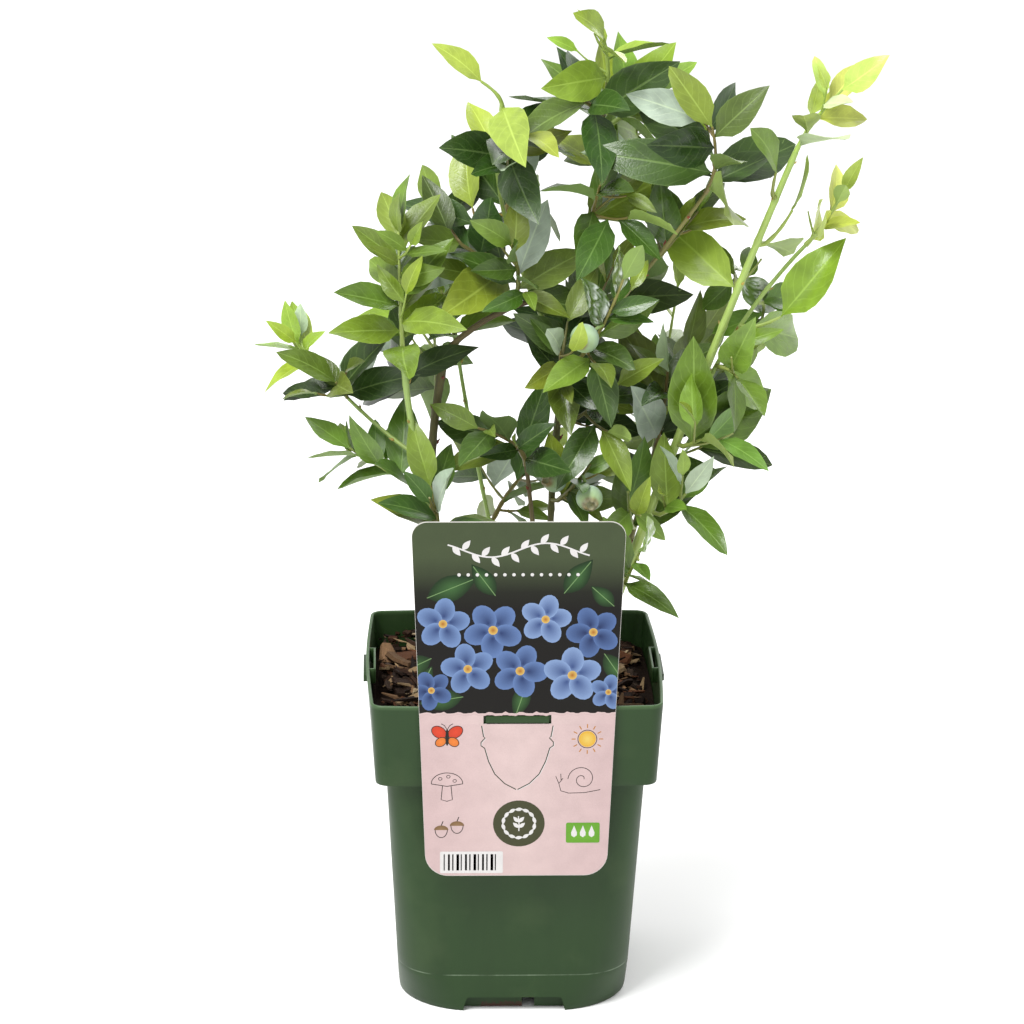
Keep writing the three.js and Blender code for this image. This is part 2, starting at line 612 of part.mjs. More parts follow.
// A berry hangs under the stem on a short stalk.
function growBerry(mass, stem, index, crowd) {
  const dice = seededDice(mass.seed * 100 + 80 + index);
  for (let attempt = 0; attempt < 2 * LEAF.tries; attempt += 1) {
    const at = 0.3 + 0.6 * dice();
    const root = stem.curve.getPoint(at);
    const way = aroundShoot(stem.curve.getTangent(at), dice() * 2 * Math.PI);
    way.z -= 0.5;
    way.normalize();
    const radius = BERRY.radius * (0.85 + 0.25 * dice());
    const centre = root.clone().addScaledVector(way, BERRY.stalk + radius);
    const clear =
      !crowd.blades.some((blade) => nearBlade(blade, centre, radius + 0.8)) &&
      !crowd.limbs.some((limb) =>
        limb.marks.some((mark) => mark.point.distanceTo(centre) < mark.radius + radius + 1),
      );
    if (clear) return { root, way, centre, radius };
  }
  return null;
}

// One row of the table of masses, with its stem, which sets off from the limb that carries it.
function makeMass(row, limbs) {
  const [name, carrierName, at, tipPoint, leaves, twigs, leafLength, berries, tone, seed] = row;
  const tip = vector(tipPoint);
  const carrier = limbs.find((limb) => limb.name === carrierName);
  const { start, heading } = branchStart(carrier, at, tip, STEM.radius);
  const control = start.clone().addScaledVector(heading, 0.4 * start.distanceTo(tip));
  const curve = new THREE.QuadraticBezierCurve3(start, control, tip);
  const stem = makeLimb(`${name}_stem`, curve, STEM.radius, STEM.tipRadius);
  return { name, stem, leaves, twigs, leafLength, berries, tone, seed };
}

// Grows one mass into the crowd of what is there: twigs, berries, then leaves.
function growMass(mass, crowd) {
  const { stem } = mass;
  const grown = { mass, stem, twigs: [], blades: [], berries: [] };
  const own = { blades: [...crowd.blades], limbs: [...crowd.limbs] };
  for (let i = 0; i < mass.twigs; i += 1) {
    const twig = growTwig(mass, stem, i, own);
    if (!twig) continue;
    grown.twigs.push(twig);
    own.limbs.push(twig);
  }
  for (let i = 0; i < mass.berries; i += 1) {
    const berry = growBerry(mass, stem, i, own);
    if (!berry) continue;
    grown.berries.push(berry);
    own.limbs.push({ marks: [{ point: berry.centre, radius: berry.radius }] });
  }
  const addLeaves = (shoot, count, firstSlot, from) => {
    for (let i = count - 1; i >= 0; i -= 1) {
      const at = count === 1 ? 1 : between([from, 1], i / (count - 1));
      const blade = growBlade(mass, shoot, at, firstSlot + i, own);
      if (!blade) continue;
      blade.place = at;
      grown.blades.push(blade);
      own.blades.push(blade);
    }
  };
  addLeaves(stem, mass.leaves, 0, 0.12);
  grown.twigs.forEach((twig, i) => addLeaves(twig, TWIG.leaves, 30 + 10 * i, 0.45));
  return { grown, crowd: own };
}

function leafSolid(blade) {
  const geometry = new THREE.SphereGeometry(1, LEAF.rimPoints, 2);
  const position = geometry.attributes.position;
  for (let i = 0; i < position.count; i += 1) {
    const [x, y, z] = [position.getX(i), position.getY(i), position.getZ(i)];
    const onRim = Math.abs(y) < 0.5;
    const point = bladePoint(blade, onRim ? (1 - x) / 2 : 0.45, onRim ? Math.sign(Math.round(z * 100)) : 0);
    if (!onRim) point.addScaledVector(blade.facing, y * 0.5 * LEAF.thickness * blade.length);
    position.setXYZ(i, point.x, point.y, point.z);
  }
  return solid(geometry);
}

function berrySolid({ root, centre, radius }) {
  const stalk = new THREE.LineCurve3(root, centre);
  const ball = new THREE.SphereGeometry(radius, 8, 5).rotateX(Math.PI / 2);
  const fruit = solid(ball.translate(centre.x, centre.y, centre.z));
  return fruit.add(taperedTube(stalk, () => BERRY.stalkRadius, 3, 1));
}

function massSolid({ stem, twigs, blades, berries }) {
  let body = taperedTube(stem.curve, stem.radiusAt, 3, 4);
  twigs.forEach((twig) => {
    body = body.add(taperedTube(twig.curve, twig.radiusAt, 3, 2));
  });
  berries.forEach((berry) => {
    body = body.add(berrySolid(berry));
  });
  blades.forEach((blade) => {
    body = body.add(leafSolid(blade));
  });
  return largestBody(body);
}

// ---------------------------------------------------------------- assembly

const canes = makeCanes();
const limbs = [...canes, ...makeBoughs(canes)];
const masses = MASSES.map((row) => makeMass(row, limbs));
let crowd = { blades: [], limbs: [...limbs, ...masses.map(({ stem }) => stem)] };
const foliage = masses.map((mass) => {
  const { grown, crowd: fuller } = growMass(mass, crowd);
  crowd = fuller;
  return grown;
});

const bush = new THREE.Group();
bush.add(namedMesh('pot', makePot(), COLOURS.pot, 0.45));
bush.add(namedMesh('potting_mix', makeMix(), COLOURS.mix, 0.95));
bush.add(namedMesh('plant_label', makeLabel(), COLOURS.label, 0.4));
const underFeet = box(2 * MIX.flatHalf, 2 * MIX.flatHalf, 3 * CANE_FOOT, 0, 0, MIX.top + GAP - 1.5 * CANE_FOOT);
limbs.forEach(({ name, curve, radiusAt, colour }) => {
  bush.add(namedMesh(name, taperedTube(curve, radiusAt, 6, 6).subtract(underFeet), colour, 0.6));
});
foliage.forEach((grown) => {
  bush.add(namedMesh(`foliage_${grown.mass.name}`, massSolid(grown), TONES[grown.mass.tone], 0.5));
});

export default bush;
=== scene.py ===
# %% [markdown]
# # A blueberry bush in a square nursery pot
#
# The real thing is a young highbush blueberry: a few canes out of one crown, forked twigs, and leathery
# elliptic leaves in sprays. It stands in a thin moulded pot, filled with a dark mix topped with bark,
# and a printed card hangs on the pot's rim. Four kinds of stuff, so four ways of making them:
#
# - the pot is one moulded skin, so a grid is rolled into a ring and its rows are sent along a profile;
# - the mix is a rough sheet with many loose bits on it, so a few bits are modelled and strewn;
# - the label is flat artwork, so it is a card with cut shapes lying on it;
# - the bush grows: limbs are swept tubes, and leaves follow a seeded rule along their shoots.
#
# Tables are in millimetres and the frame is in metres. +Z is up, and the origin is the middle of the
# pot's underside.

import json
import math
from functools import partial

import bpy
import numpy as np
from mathutils import Matrix, Vector

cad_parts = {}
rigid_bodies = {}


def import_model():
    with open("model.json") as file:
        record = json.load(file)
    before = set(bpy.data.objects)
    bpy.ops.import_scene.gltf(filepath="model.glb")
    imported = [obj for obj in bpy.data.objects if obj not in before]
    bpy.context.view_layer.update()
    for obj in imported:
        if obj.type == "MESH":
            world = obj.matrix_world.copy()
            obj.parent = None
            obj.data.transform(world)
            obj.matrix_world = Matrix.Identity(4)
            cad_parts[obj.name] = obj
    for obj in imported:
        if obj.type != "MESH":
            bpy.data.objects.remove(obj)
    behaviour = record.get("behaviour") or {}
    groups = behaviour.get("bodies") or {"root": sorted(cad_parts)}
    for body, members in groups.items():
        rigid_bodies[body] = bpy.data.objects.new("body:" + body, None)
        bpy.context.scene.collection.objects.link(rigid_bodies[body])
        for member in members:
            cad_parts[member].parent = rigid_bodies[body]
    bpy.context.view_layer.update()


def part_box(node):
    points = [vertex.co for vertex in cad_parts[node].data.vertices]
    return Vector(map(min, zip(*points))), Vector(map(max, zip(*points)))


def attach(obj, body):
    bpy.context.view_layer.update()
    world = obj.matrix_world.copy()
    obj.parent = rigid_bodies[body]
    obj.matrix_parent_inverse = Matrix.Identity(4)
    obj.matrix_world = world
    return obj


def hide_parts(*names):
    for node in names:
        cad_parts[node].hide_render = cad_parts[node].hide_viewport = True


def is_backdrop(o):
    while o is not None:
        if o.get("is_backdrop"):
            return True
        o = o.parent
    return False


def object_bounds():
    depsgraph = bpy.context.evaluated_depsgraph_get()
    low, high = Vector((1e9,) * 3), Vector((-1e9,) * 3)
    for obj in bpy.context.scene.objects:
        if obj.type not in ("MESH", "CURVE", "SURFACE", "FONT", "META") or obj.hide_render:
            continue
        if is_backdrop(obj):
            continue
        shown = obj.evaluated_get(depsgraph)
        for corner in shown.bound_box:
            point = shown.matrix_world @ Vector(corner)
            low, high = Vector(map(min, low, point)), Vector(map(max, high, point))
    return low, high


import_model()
MM = 0.001

# %% [markdown]
# ## Colours and shader nodes
#
# Colours are written as sRGB hex, and one function turns them into the linear values that shading works
# in. Shader nodes are added one at a time by a single function that takes the node's inputs and settings.
# A Map Range takes its value, then from, from, to, to. The sockets of a Mix of colours are 0, 6 and 7.

# %% colours and nodes
COLOUR_MIX = {"out": 2, "data_type": "RGBA"}


def linear(hex_code):
    """The linear RGBA of an sRGB hex colour."""
    channels = [int(hex_code[i : i + 2], 16) / 255 for i in (1, 3, 5)]
    return tuple(c / 12.92 if c <= 0.04045 else ((c + 0.055) / 1.055) ** 2.4 for c in channels) + (1.0,)


def tone_of(hex_code):
    """The same as an array without alpha, to reckon with."""
    return np.array(linear(hex_code)[:3])


def fill(node, inputs):
    """Links or sets a node's inputs: a list in the order of its sockets, or a dict by name or number."""
    for key, source in inputs.items() if isinstance(inputs, dict) else enumerate(inputs):
        socket = node.inputs[key]
        if isinstance(source, bpy.types.NodeSocket):
            node.id_data.links.new(source, socket)
        elif isinstance(source, str):
            socket.default_value = linear(source)[: len(socket.default_value)]
        else:
            socket.default_value = source


def add_node(tree, kind, inputs=(), out=0, **settings):
    """Adds a node and gives back one output. A setting is the node's own property or an input by name."""
    node = tree.nodes.new("ShaderNode" + kind)
    for key, value in settings.items():
        if hasattr(node, key):
            setattr(node, key, value)
        else:
            fill(node, {key.replace("_", " "): value})
    fill(node, inputs)
    return node.outputs[out]


def new_material(name):
    """A node material, its surface shader, and the function that adds nodes to it."""
    material = bpy.data.materials.new(name)
    material.use_nodes = True
    tree = material.node_tree
    return material, tree.nodes["Principled BSDF"], partial(add_node, tree)


# %% [markdown]
# ## Modelling helpers
#
# A model starts from one of Blender's primitives and is worked on in edit mode. A shape that is used many
# times is modelled once, and its points and faces are copied into a pile that becomes one mesh. Every
# finished piece is tied to the frame: it rides on the root body, the slot of its finish is printed, and it
# stands for its CAD nodes.

# %% modelling helpers


def start_with(primitive, **settings):
    """Adds one of Blender's primitives, alone in the selection, and gives back the object."""
    bpy.ops.object.select_all(action="DESELECT")
    primitive(**settings)
    return bpy.context.active_object


def select_only(piece):
    if bpy.context.mode != "OBJECT":
        bpy.ops.object.mode_set(mode="OBJECT")
    bpy.ops.object.select_all(action="DESELECT")
    piece.select_set(True)
    bpy.context.view_layer.objects.active = piece


def edit_all():
    """Opens the active mesh in edit mode with all of it selected."""
    bpy.ops.object.mode_set(mode="EDIT")
    bpy.ops.mesh.select_all(action="SELECT")


def close_edit():
    bpy.ops.object.mode_set(mode="OBJECT")


def select_points(piece, test):
    """Selects the vertices whose place passes the test, in edit mode."""
    close_edit()
    for part in (*piece.data.polygons, *piece.data.edges):
        part.select = False
    for vertex in piece.data.vertices:
        vertex.select = bool(test(vertex.co))
    bpy.ops.object.mode_set(mode="EDIT")
    bpy.ops.mesh.select_mode(type="VERT")


def resize(x, y, z, centre=(0, 0, 0)):
    bpy.ops.transform.resize(value=(x, y, z), center_override=centre)


def block(low, high):
    """A box between two corners in millimetres."""
    box = start_with(bpy.ops.mesh.primitive_cube_add, size=1)
    box.scale = [(b - a) * MM for a, b in zip(low, high)]
    box.location = [(a + b) / 2 * MM for a, b in zip(low, high)]
    bpy.ops.object.transform_apply(location=True, rotation=False, scale=True)
    return box


def post(middle, sides, radius, height):
    """An upright cylinder round a point in millimetres."""
    cylinder = start_with(bpy.ops.mesh.primitive_cylinder_add, vertices=sides, radius=radius * MM,
                          depth=height * MM, location=[c * MM for c in middle])
    bpy.ops.object.transform_apply(location=True, rotation=False, scale=False)
    return cylinder


def quarter_turns(piece, quarters):
    piece.data.transform(Matrix.Rotation(quarters * math.pi / 2, 4, "Z"))
    return piece


def modify(piece, kind, **settings):
    """Adds a modifier and applies it at once."""
    modifier = piece.modifiers.new(kind, kind)
    for key, value in settings.items():
        setattr(modifier, key, value)
    select_only(piece)
    bpy.ops.object.modifier_apply(modifier=modifier.name)


def cut_away(piece, cutter):
    modify(piece, "BOOLEAN", object=cutter, operation="DIFFERENCE", solver="EXACT")
    bpy.data.objects.remove(cutter)


def taken_apart(model):
    """The points and faces of a model, which is then removed."""
    points = np.array([v.co for v in model.data.vertices])
    faces = [tuple(p.vertices) for p in model.data.polygons]
    bpy.data.objects.remove(model)
    return points, faces


def mesh_object(name, points, faces, material):
    """An object at the origin from points in millimetres and lists of corner numbers."""
    mesh = bpy.data.meshes.new(name)
    mesh.from_pydata((np.asarray(points) * MM).tolist(), [], [list(f) for f in faces])
    mesh.update()
    piece = bpy.data.objects.new(name, mesh)
    bpy.context.collection.objects.link(piece)
    if material:
        mesh.materials.append(material)
    return piece


def store_colours(piece, name, rgb, alpha=1.0, domain="POINT"):
    """Gives each point or corner a colour, which a material reads by that name."""
    rgba = np.column_stack([np.asarray(rgb, float), np.broadcast_to(alpha, len(rgb))])
    layer = piece.data.color_attributes.new(name, "FLOAT_COLOR", domain)
    layer.data.foreach_set("color", rgba.astype(np.float32).ravel())


def store_map(piece, name, rows):
    """Gives each corner a pair of numbers, which a material reads as a map of that name."""
    piece.data.uv_layers.new(name=name).data.foreach_set("uv", np.asarray(rows, float).ravel())


class Pile:
    """Shapes that are joined into one mesh, with a colour for each shape or for each point."""

    def __init__(self):
        self.points, self.faces, self.shades, self.count = [], [], [], 0

    def add(self, points, faces, shade):
        self.faces += [tuple(i + self.count for i in face) for face in faces]
        self.points.append(points)
        self.shades.append(np.broadcast_to(shade, (len(points), 3)))
        self.count += len(points)

    def made(self, name, material, colour_name):
        piece = mesh_object(name, np.vstack(self.points), self.faces, material)
        store_colours(piece, colour_name, np.vstack(self.shades))
        return piece


def finish_piece(piece, smooth_angle, slot, *nodes):
    """Smooths a finished piece, ties it to the frame and prints its size."""
    select_only(piece)
    if smooth_angle:
        bpy.ops.object.shade_smooth_by_angle(angle=math.radians(smooth_angle))
    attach(piece, "root")
    if nodes:
        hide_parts(*nodes)
    piece.data.calc_loop_triangles()
    triangles = len(piece.data.loop_triangles)
    print(f"{piece.name}: {triangles} triangles, slot {slot}, for {len(nodes)} nodes")


def unit(vector):
    return vector / np.linalg.norm(vector)


# %% [markdown]
# ## The plan of the bush
#
# The bush is grown in the same order as the CAD part: canes stand on the mix, boughs leave the canes, and
# each mass of foliage leaves a limb as one shoot. The tables give, in millimetres, where each limb
# starts, a point it passes half-way and its tip, so the lean of each limb is known before any leaf is
# grown. The last number of a mass is its seed: with the same rule it gives the same leaves again.

# %% tables of limbs and masses
# Canes: name, foot (x, y), point passed half-way, tip, foot and tip radius, colour.
CANES = [
    ("cane_left_green", (-18, -12), (-40, -19, 232), (-50, -24, 300), 2.9, 1.6, "#87a053"),
    ("cane_thin_green", (6, 14), (-14, 15, 228), (-26, 15, 296), 1.6, 0.9, "#8fac57"),
    ("cane_old_brown", (-24, 2), (-37, -1, 222), (-31, -4, 297), 3.0, 2.2, "#585530"),
    ("cane_centre", (19, 7), (17, 5, 226), (25, 2, 306), 2.8, 2.0, "#53562c"),
    ("cane_centre_twig", (13, -7), (10, -7, 196), (5, -8, 246), 1.6, 1.1, "#5f5433"),
    ("cane_right_green", (31, -4), (79, -12, 278), (121, -18, 392), 3.4, 1.5, "#93ab57"),
    ("cane_inner_right", (35, 10), (52, 10, 200), (64, 8, 250), 2.2, 1.5, "#6f6a42"),
]
# Boughs: name, limb that carries it, place along that limb, point passed half-way, tip, radii, colour.
BOUGHS = [
    ("bough_brown_arm", "cane_old_brown", 1, (-11, -8, 315), (11, -7, 323), 2.0, 1.4, "#54432f"),
    ("bough_upper_left", "cane_centre", 0.93, (-5, 2, 358), (-7, -4, 407), 1.7, 0.9, "#7d9448"),
    ("bough_top", "cane_centre", 1, (34, 12, 364), (40, 14, 416), 1.8, 0.9, "#76803f"),
    ("bough_upper_right", "cane_centre", 0.96, (56, -9, 335), (82, -16, 373), 1.9, 1.2, "#77733c"),
    ("bough_right_thin", "cane_right_green", 0.5, (102, -6, 314), (128, -2, 346), 1.5, 1.0, "#8ba554"),
    ("bough_left_reach", "cane_left_green", 0.66, (-66, -8, 269), (-90, 6, 290), 1.3, 0.8, "#86a050"),
]
# Masses of foliage: name, limb, place along it, tip of the shoot, leaves on the shoot, side twigs, leaf
# length, berries, tone of the leaves, seed.
MASSES = [
    ("right_cane_top", "cane_right_green", 1, (140, -24, 421), 5, 0, 36, 0, "lime", 4615),
    ("right_cane_narrow", "cane_right_green", 0.9, (112, -26, 385), 1, 0, 44, 0, "mid", 7347),
    ("right_cane_upper", "cane_right_green", 0.8, (121, -10, 364), 2, 0, 40, 0, "lime", 5944),
    ("right_shoot_top", "bough_right_thin", 1, (144, -2, 370), 6, 0, 28, 0, "lime", 630),
    ("right_folded", "bough_right_thin", 0.45, (117, -12, 316), 2, 0, 52, 0, "lime", 7478),
    ("left_cane_top", "cane_left_green", 1, (-52, -26, 360), 14, 0, 34, 0, "pale", 1347),
    ("left_tip", "bough_left_reach", 1, (-97, 8, 298), 4, 0, 28, 0, "lime", 2363),
    ("left_dark", "bough_left_reach", 0.7, (-80, -8, 285), 7, 0, 36, 0, "dark", 2451),
    ("top_right", "bough_upper_right", 1, (84, -22, 404), 8, 0, 50, 0, "dark", 2499),
    ("top_tip", "bough_top", 1, (38, 8, 437), 3, 0, 36, 0, "lime", 7036),
    ("top_left", "bough_top", 0.85, (28, -4, 412), 6, 0, 42, 0, "dark", 413),
    ("top_lime", "bough_top", 0.8, (58, 18, 410), 6, 0, 42, 0, "lime", 872),
    ("left_centre_tip", "bough_upper_left", 1, (-16, -8, 421), 2, 0, 40, 0, "lime", 4739),
    ("left_centre_top", "bough_upper_left", 0.75, (2, -14, 398), 8, 0, 38, 0, "dark", 869),
    ("right_low", "cane_right_green", 0.42, (82, -24, 263), 3, 0, 46, 0, "mid", 3),
    ("right_lowest", "cane_right_green", 0.3, (76, -18, 236), 4, 0, 34, 0, "mid", 2666),
    ("right_round", "bough_right_thin", 0.2, (98, -20, 290), 3, 0, 42, 0, "mid", 7349),
    ("right_glossy", "cane_right_green", 0.7, (97, 10, 332), 5, 0, 38, 0, "mid", 2982),
    ("right_shoot_middle", "bough_right_thin", 0.6, (110, 8, 308), 5, 0, 30, 0, "mid", 1438),
    ("left_low", "cane_left_green", 0.55, (-74, -10, 255), 7, 0, 34, 0, "mid", 1349),
    ("left_cane_side", "cane_left_green", 0.86, (-50, -2, 303), 5, 0, 34, 0, "dark", 3935),
    ("left_centre_low", "bough_upper_left", 0.3, (-34, -6, 355), 8, 1, 42, 0, "dark", 1776),
    ("centre_left", "bough_brown_arm", 0.75, (-3, -24, 352), 8, 0, 34, 0, "deep", 737),
    ("top_middle", "bough_top", 0.4, (36, -14, 376), 7, 1, 38, 0, "deep", 1827),
    ("top_right_low", "bough_upper_right", 0.6, (80, -4, 362), 7, 0, 34, 0, "deep", 1574),
    ("centre_knot", "cane_centre", 0.9, (46, -30, 338), 8, 1, 32, 1, "deep", 1131),
    ("centre_middle", "cane_centre", 0.85, (19, -24, 304), 8, 1, 32, 0, "dark", 1087),
    ("centre_right", "cane_centre", 0.72, (45, -10, 284), 8, 1, 32, 0, "dark", 1045),
    ("centre_low", "cane_centre", 0.5, (33, -22, 251), 7, 0, 26, 2, "deep", 2368),
    ("centre_low_left", "cane_centre_twig", 1, (-17, -16, 266), 7, 0, 34, 0, "dark", 283),
    ("right_inner", "cane_inner_right", 1, (68, -2, 288), 8, 1, 40, 0, "dark", 2029),
    ("label_right", "cane_inner_right", 0.6, (50, -22, 238), 5, 0, 34, 1, "mid", 1580),
    ("label_hanging", "cane_right_green", 0.18, (55, -34, 214), 3, 0, 34, 0, "mid", 5905),
    ("left_foot", "cane_left_green", 0.42, (-38, -28, 243), 6, 0, 36, 0, "deep", 3695),
    ("thin_shoot_top", "cane_thin_green", 1, (-33, 19, 320), 9, 0, 24, 0, "mid", 1920),
    ("top_back", "bough_top", 0.6, (58, 48, 386), 6, 1, 40, 0, "mid", 2602),
    ("left_centre_back", "bough_upper_left", 0.5, (5, 46, 362), 7, 1, 38, 0, "dark", 2305),
    ("centre_back", "cane_centre", 0.9, (40, 50, 308), 8, 1, 38, 1, "dark", 536),
    ("right_back", "cane_inner_right", 0.7, (84, 42, 290), 7, 1, 36, 0, "deep", 1411),
    ("pale_sprig", "cane_inner_right", 0.97, (76, 60, 310), 4, 0, 22, 0, "pale", 2480),
    ("left_back", "cane_old_brown", 0.85, (-36, 46, 296), 8, 1, 34, 0, "mid", 2024),
    ("low_back", "cane_thin_green", 0.4, (16, 56, 232), 7, 1, 32, 0, "deep", 2398),
]
GAP = 0.3  # clearance between neighbouring limbs
MIX_TOP = 140.5
CANE_FOOT = 4  # how far the canes start below the top of the mix
LEAF = {
    "half_width": 0.215,  # of its length
    "fold": 0.22,  # how far the margins rise, of the half width
    "curl": 0.1,  # how far the tip drops, of the length
    "sink": 0.7,  # how deep the root sits in its twig, in millimetres
    "tilt_low": 1.15, "tilt_high": 0.6,  # the lean from the shoot at its foot and at its tip
    "sag": 0.22,
    "outward": 0.4, "light": 0.8,  # how far a face turns outwards and to the light, against 1 for up
    "sway": 1.6,  # how far a face strays from that
    "tries": 5,
}
TWIG = {"radius": 0.95, "tip_radius": 0.55, "tilt": 0.85, "share": 0.55, "leaves": 3}
STEM = {"radius": 1.35, "tip_radius": 0.65}
BERRY = {"radius": 6.1, "stalk": 5, "stalk_radius": 0.7}
TURN = 2.39996  # the golden angle, from one leaf to the next
CLEARANCE = 2.2  # between two blades
TWIG_CLEARANCE = 1.3  # between a blade and a limb
CROWN_LOW, CROWN_HIGH = np.array([-123.0, -112.0, 160.0]), np.array([171.0, 112.0, 455.0])
LABEL_ROOM = {"half_width": 53, "back": -56, "top": 246}
SEED_STEP = 100  # room for the seeds of the leaves, twigs and berries of one mass
TWIG_SEEDS, BERRY_SEEDS = 60, 80
print(len(CANES), "canes,", len(BOUGHS), "boughs,", len(MASSES), "masses of foliage")

# %% [markdown]
# ## The rule of growth
#
# Chance comes from a small seeded generator, so that every run grows the same bush. A shoot is a smooth
# curve with marks along it that keep other growth away. Leaves leave a shoot at the golden angle, one
# after another, lean towards its tip, sag a little, and turn their faces up, outwards and to the light.
# A leaf that would leave the crown, or cut through what has grown before it, is tried a few times and
# then skipped, so no two pieces of the bush cross.

# %% chance, curves and limbs


def seeded_dice(seed):
    modulus = 2147483647
    state = (seed * 7919 + 104729) % modulus

    def roll():
        nonlocal state
        state = state * 48271 % modulus
        return state / modulus

    return roll


def lerp(start, end, share):
    return start + (end - start) * share


def curve_point(curve, t):
    v0, v1, v2 = curve
    return (1 - t) ** 2 * v0 + 2 * (1 - t) * t * v1 + t * t * v2


def curve_tangent(curve, t):
    step = 0.0001
    return unit(curve_point(curve, min(t + step, 1)) - curve_point(curve, max(t - step, 0)))


def curve_through(start, middle, tip):
    """The curve from start to tip that passes a given point half-way."""
    return start, 2 * middle - 0.5 * start - 0.5 * tip, tip


def span(curve):
    return np.linalg.norm(curve[2] - curve[0])


def make_limb(name, curve, foot_radius, tip_radius):
    count = math.ceil(span(curve) / 3)
    shares = [i / count for i in range(count + 1)]
    return {
        "name": name,
        "curve": curve,
        "radii": (foot_radius, tip_radius),
        "marks": np.array([curve_point(curve, t) for t in shares]),
        "mark_radii": np.array([lerp(foot_radius, tip_radius, t) for t in shares]),
    }


def branch_start(limb, at, target, radius):
    """Where a branch starts, clear of the limb that carries it, and the way it sets off."""
    axis = curve_point(limb["curve"], at)
    along = curve_tangent(limb["curve"], at)
    if at == 1:
        return axis + along * GAP, along
    outward = target - axis
    outward = unit(outward - along * (outward @ along))
    heading = unit(outward + along * 0.7)
    tilted_foot = radius * math.sqrt(1 - (heading @ outward) ** 2)
    return axis + outward * (lerp(*limb["radii"], at) + GAP + tilted_foot), heading


def around_shoot(tangent, turn):
    """The shoot's sideways direction that is `turn` round from its level side."""
    reference = np.array([1.0, 0, 0]) if abs(tangent[2]) > 0.9 else np.array([0, 0, 1.0])
    side = unit(np.cross(reference, tangent))
    return side * math.cos(turn) + np.cross(tangent, side) * math.sin(turn)


limbs = {}
for name, foot, middle, tip, *radii, colour in CANES:
    start, middle, tip = np.array([(*foot, MIX_TOP + GAP - CANE_FOOT), middle, tip], float)
    limbs[name] = make_limb(name, curve_through(start, middle, tip), *radii) | {"colour": colour}
for name, carrier, at, middle, tip, *radii, colour in BOUGHS:
    middle, tip = np.array([middle, tip], float)
    start, heading = branch_start(limbs[carrier], at, middle, radii[0])
    lean = math.acos(max(-1, min(1, heading @ unit(middle - start))))
    if at == 1:
        start = start + heading * radii[0] * math.sin(lean)
    limbs[name] = make_limb(name, curve_through(start, middle, tip), *radii) | {"colour": colour}
    limbs[name]["joint"] = curve_point(limbs[carrier]["curve"], at)
print("longest limb", max(span(limb["curve"]) for limb in limbs.values()).round(), "mm")

# %% the crowd: everything that has grown so far


class Crowd:
    """Limbs, berries and blades that are there, in arrays that a new one is tested against."""

    def __init__(self):
        self.points, self.radii, self.owners = np.zeros((0, 3)), np.zeros(0), np.zeros(0, int)
        self.blades, self.centres, self.lengths = [], np.zeros((0, 3)), np.zeros(0)
        self.count = 0

    def add_limb(self, limb):
        limb["number"] = self.count
        self.count += 1
        self.points = np.vstack([self.points, limb["marks"]])
        self.radii = np.append(self.radii, limb["mark_radii"])
        self.owners = np.append(self.owners, [limb["number"]] * len(limb["marks"]))

    def add_blade(self, blade):
        self.blades.append(blade)
        self.centres = np.vstack([self.centres, blade["centre"]])
        self.lengths = np.append(self.lengths, blade["length"])


def blade_width(u):
    return np.sin(np.pi * np.clip(u, 0, 1) ** 0.9)


def blade_point(blade, u, v):
    """A point of a blade: u from root to tip, v from one margin (-1) to the other (1)."""
    length, half = blade["length"], blade["half"] * blade_width(u)
    rise = LEAF["fold"] * abs(v) * half - LEAF["curl"] * length * u * u
    on_plane = blade["root"] + blade["along"] * (u * length) + blade["across"] * (v * half)
    return on_plane + blade["facing"] * rise


def near_blade(blade, points, clearance):
    """Which points are nearer to the blade than the clearance, past the first stretch from its root."""
    offset = np.atleast_2d(points) - blade["root"]
    length = blade["length"]
    u = offset @ blade["along"] / length
    half = blade["half"] * blade_width(u)
    v = np.abs(offset @ blade["across"])
    rise = LEAF["fold"] * np.minimum(v, half) - LEAF["curl"] * length * u * u
    inside = (u >= 0.15) & (u <= 1 + clearance / length) & (v <= half + clearance)
    return inside & (np.abs(offset @ blade["facing"] - rise) < clearance)


def inside_crown(points):
    points = np.atleast_2d(points)
    if (points < CROWN_LOW).any() or (points > CROWN_HIGH).any():
        return False
    x, y, z = points.T
    at_label = (np.abs(x) < LABEL_ROOM["half_width"]) & (y < LABEL_ROOM["back"]) & (z < LABEL_ROOM["top"])
    return not at_label.any()


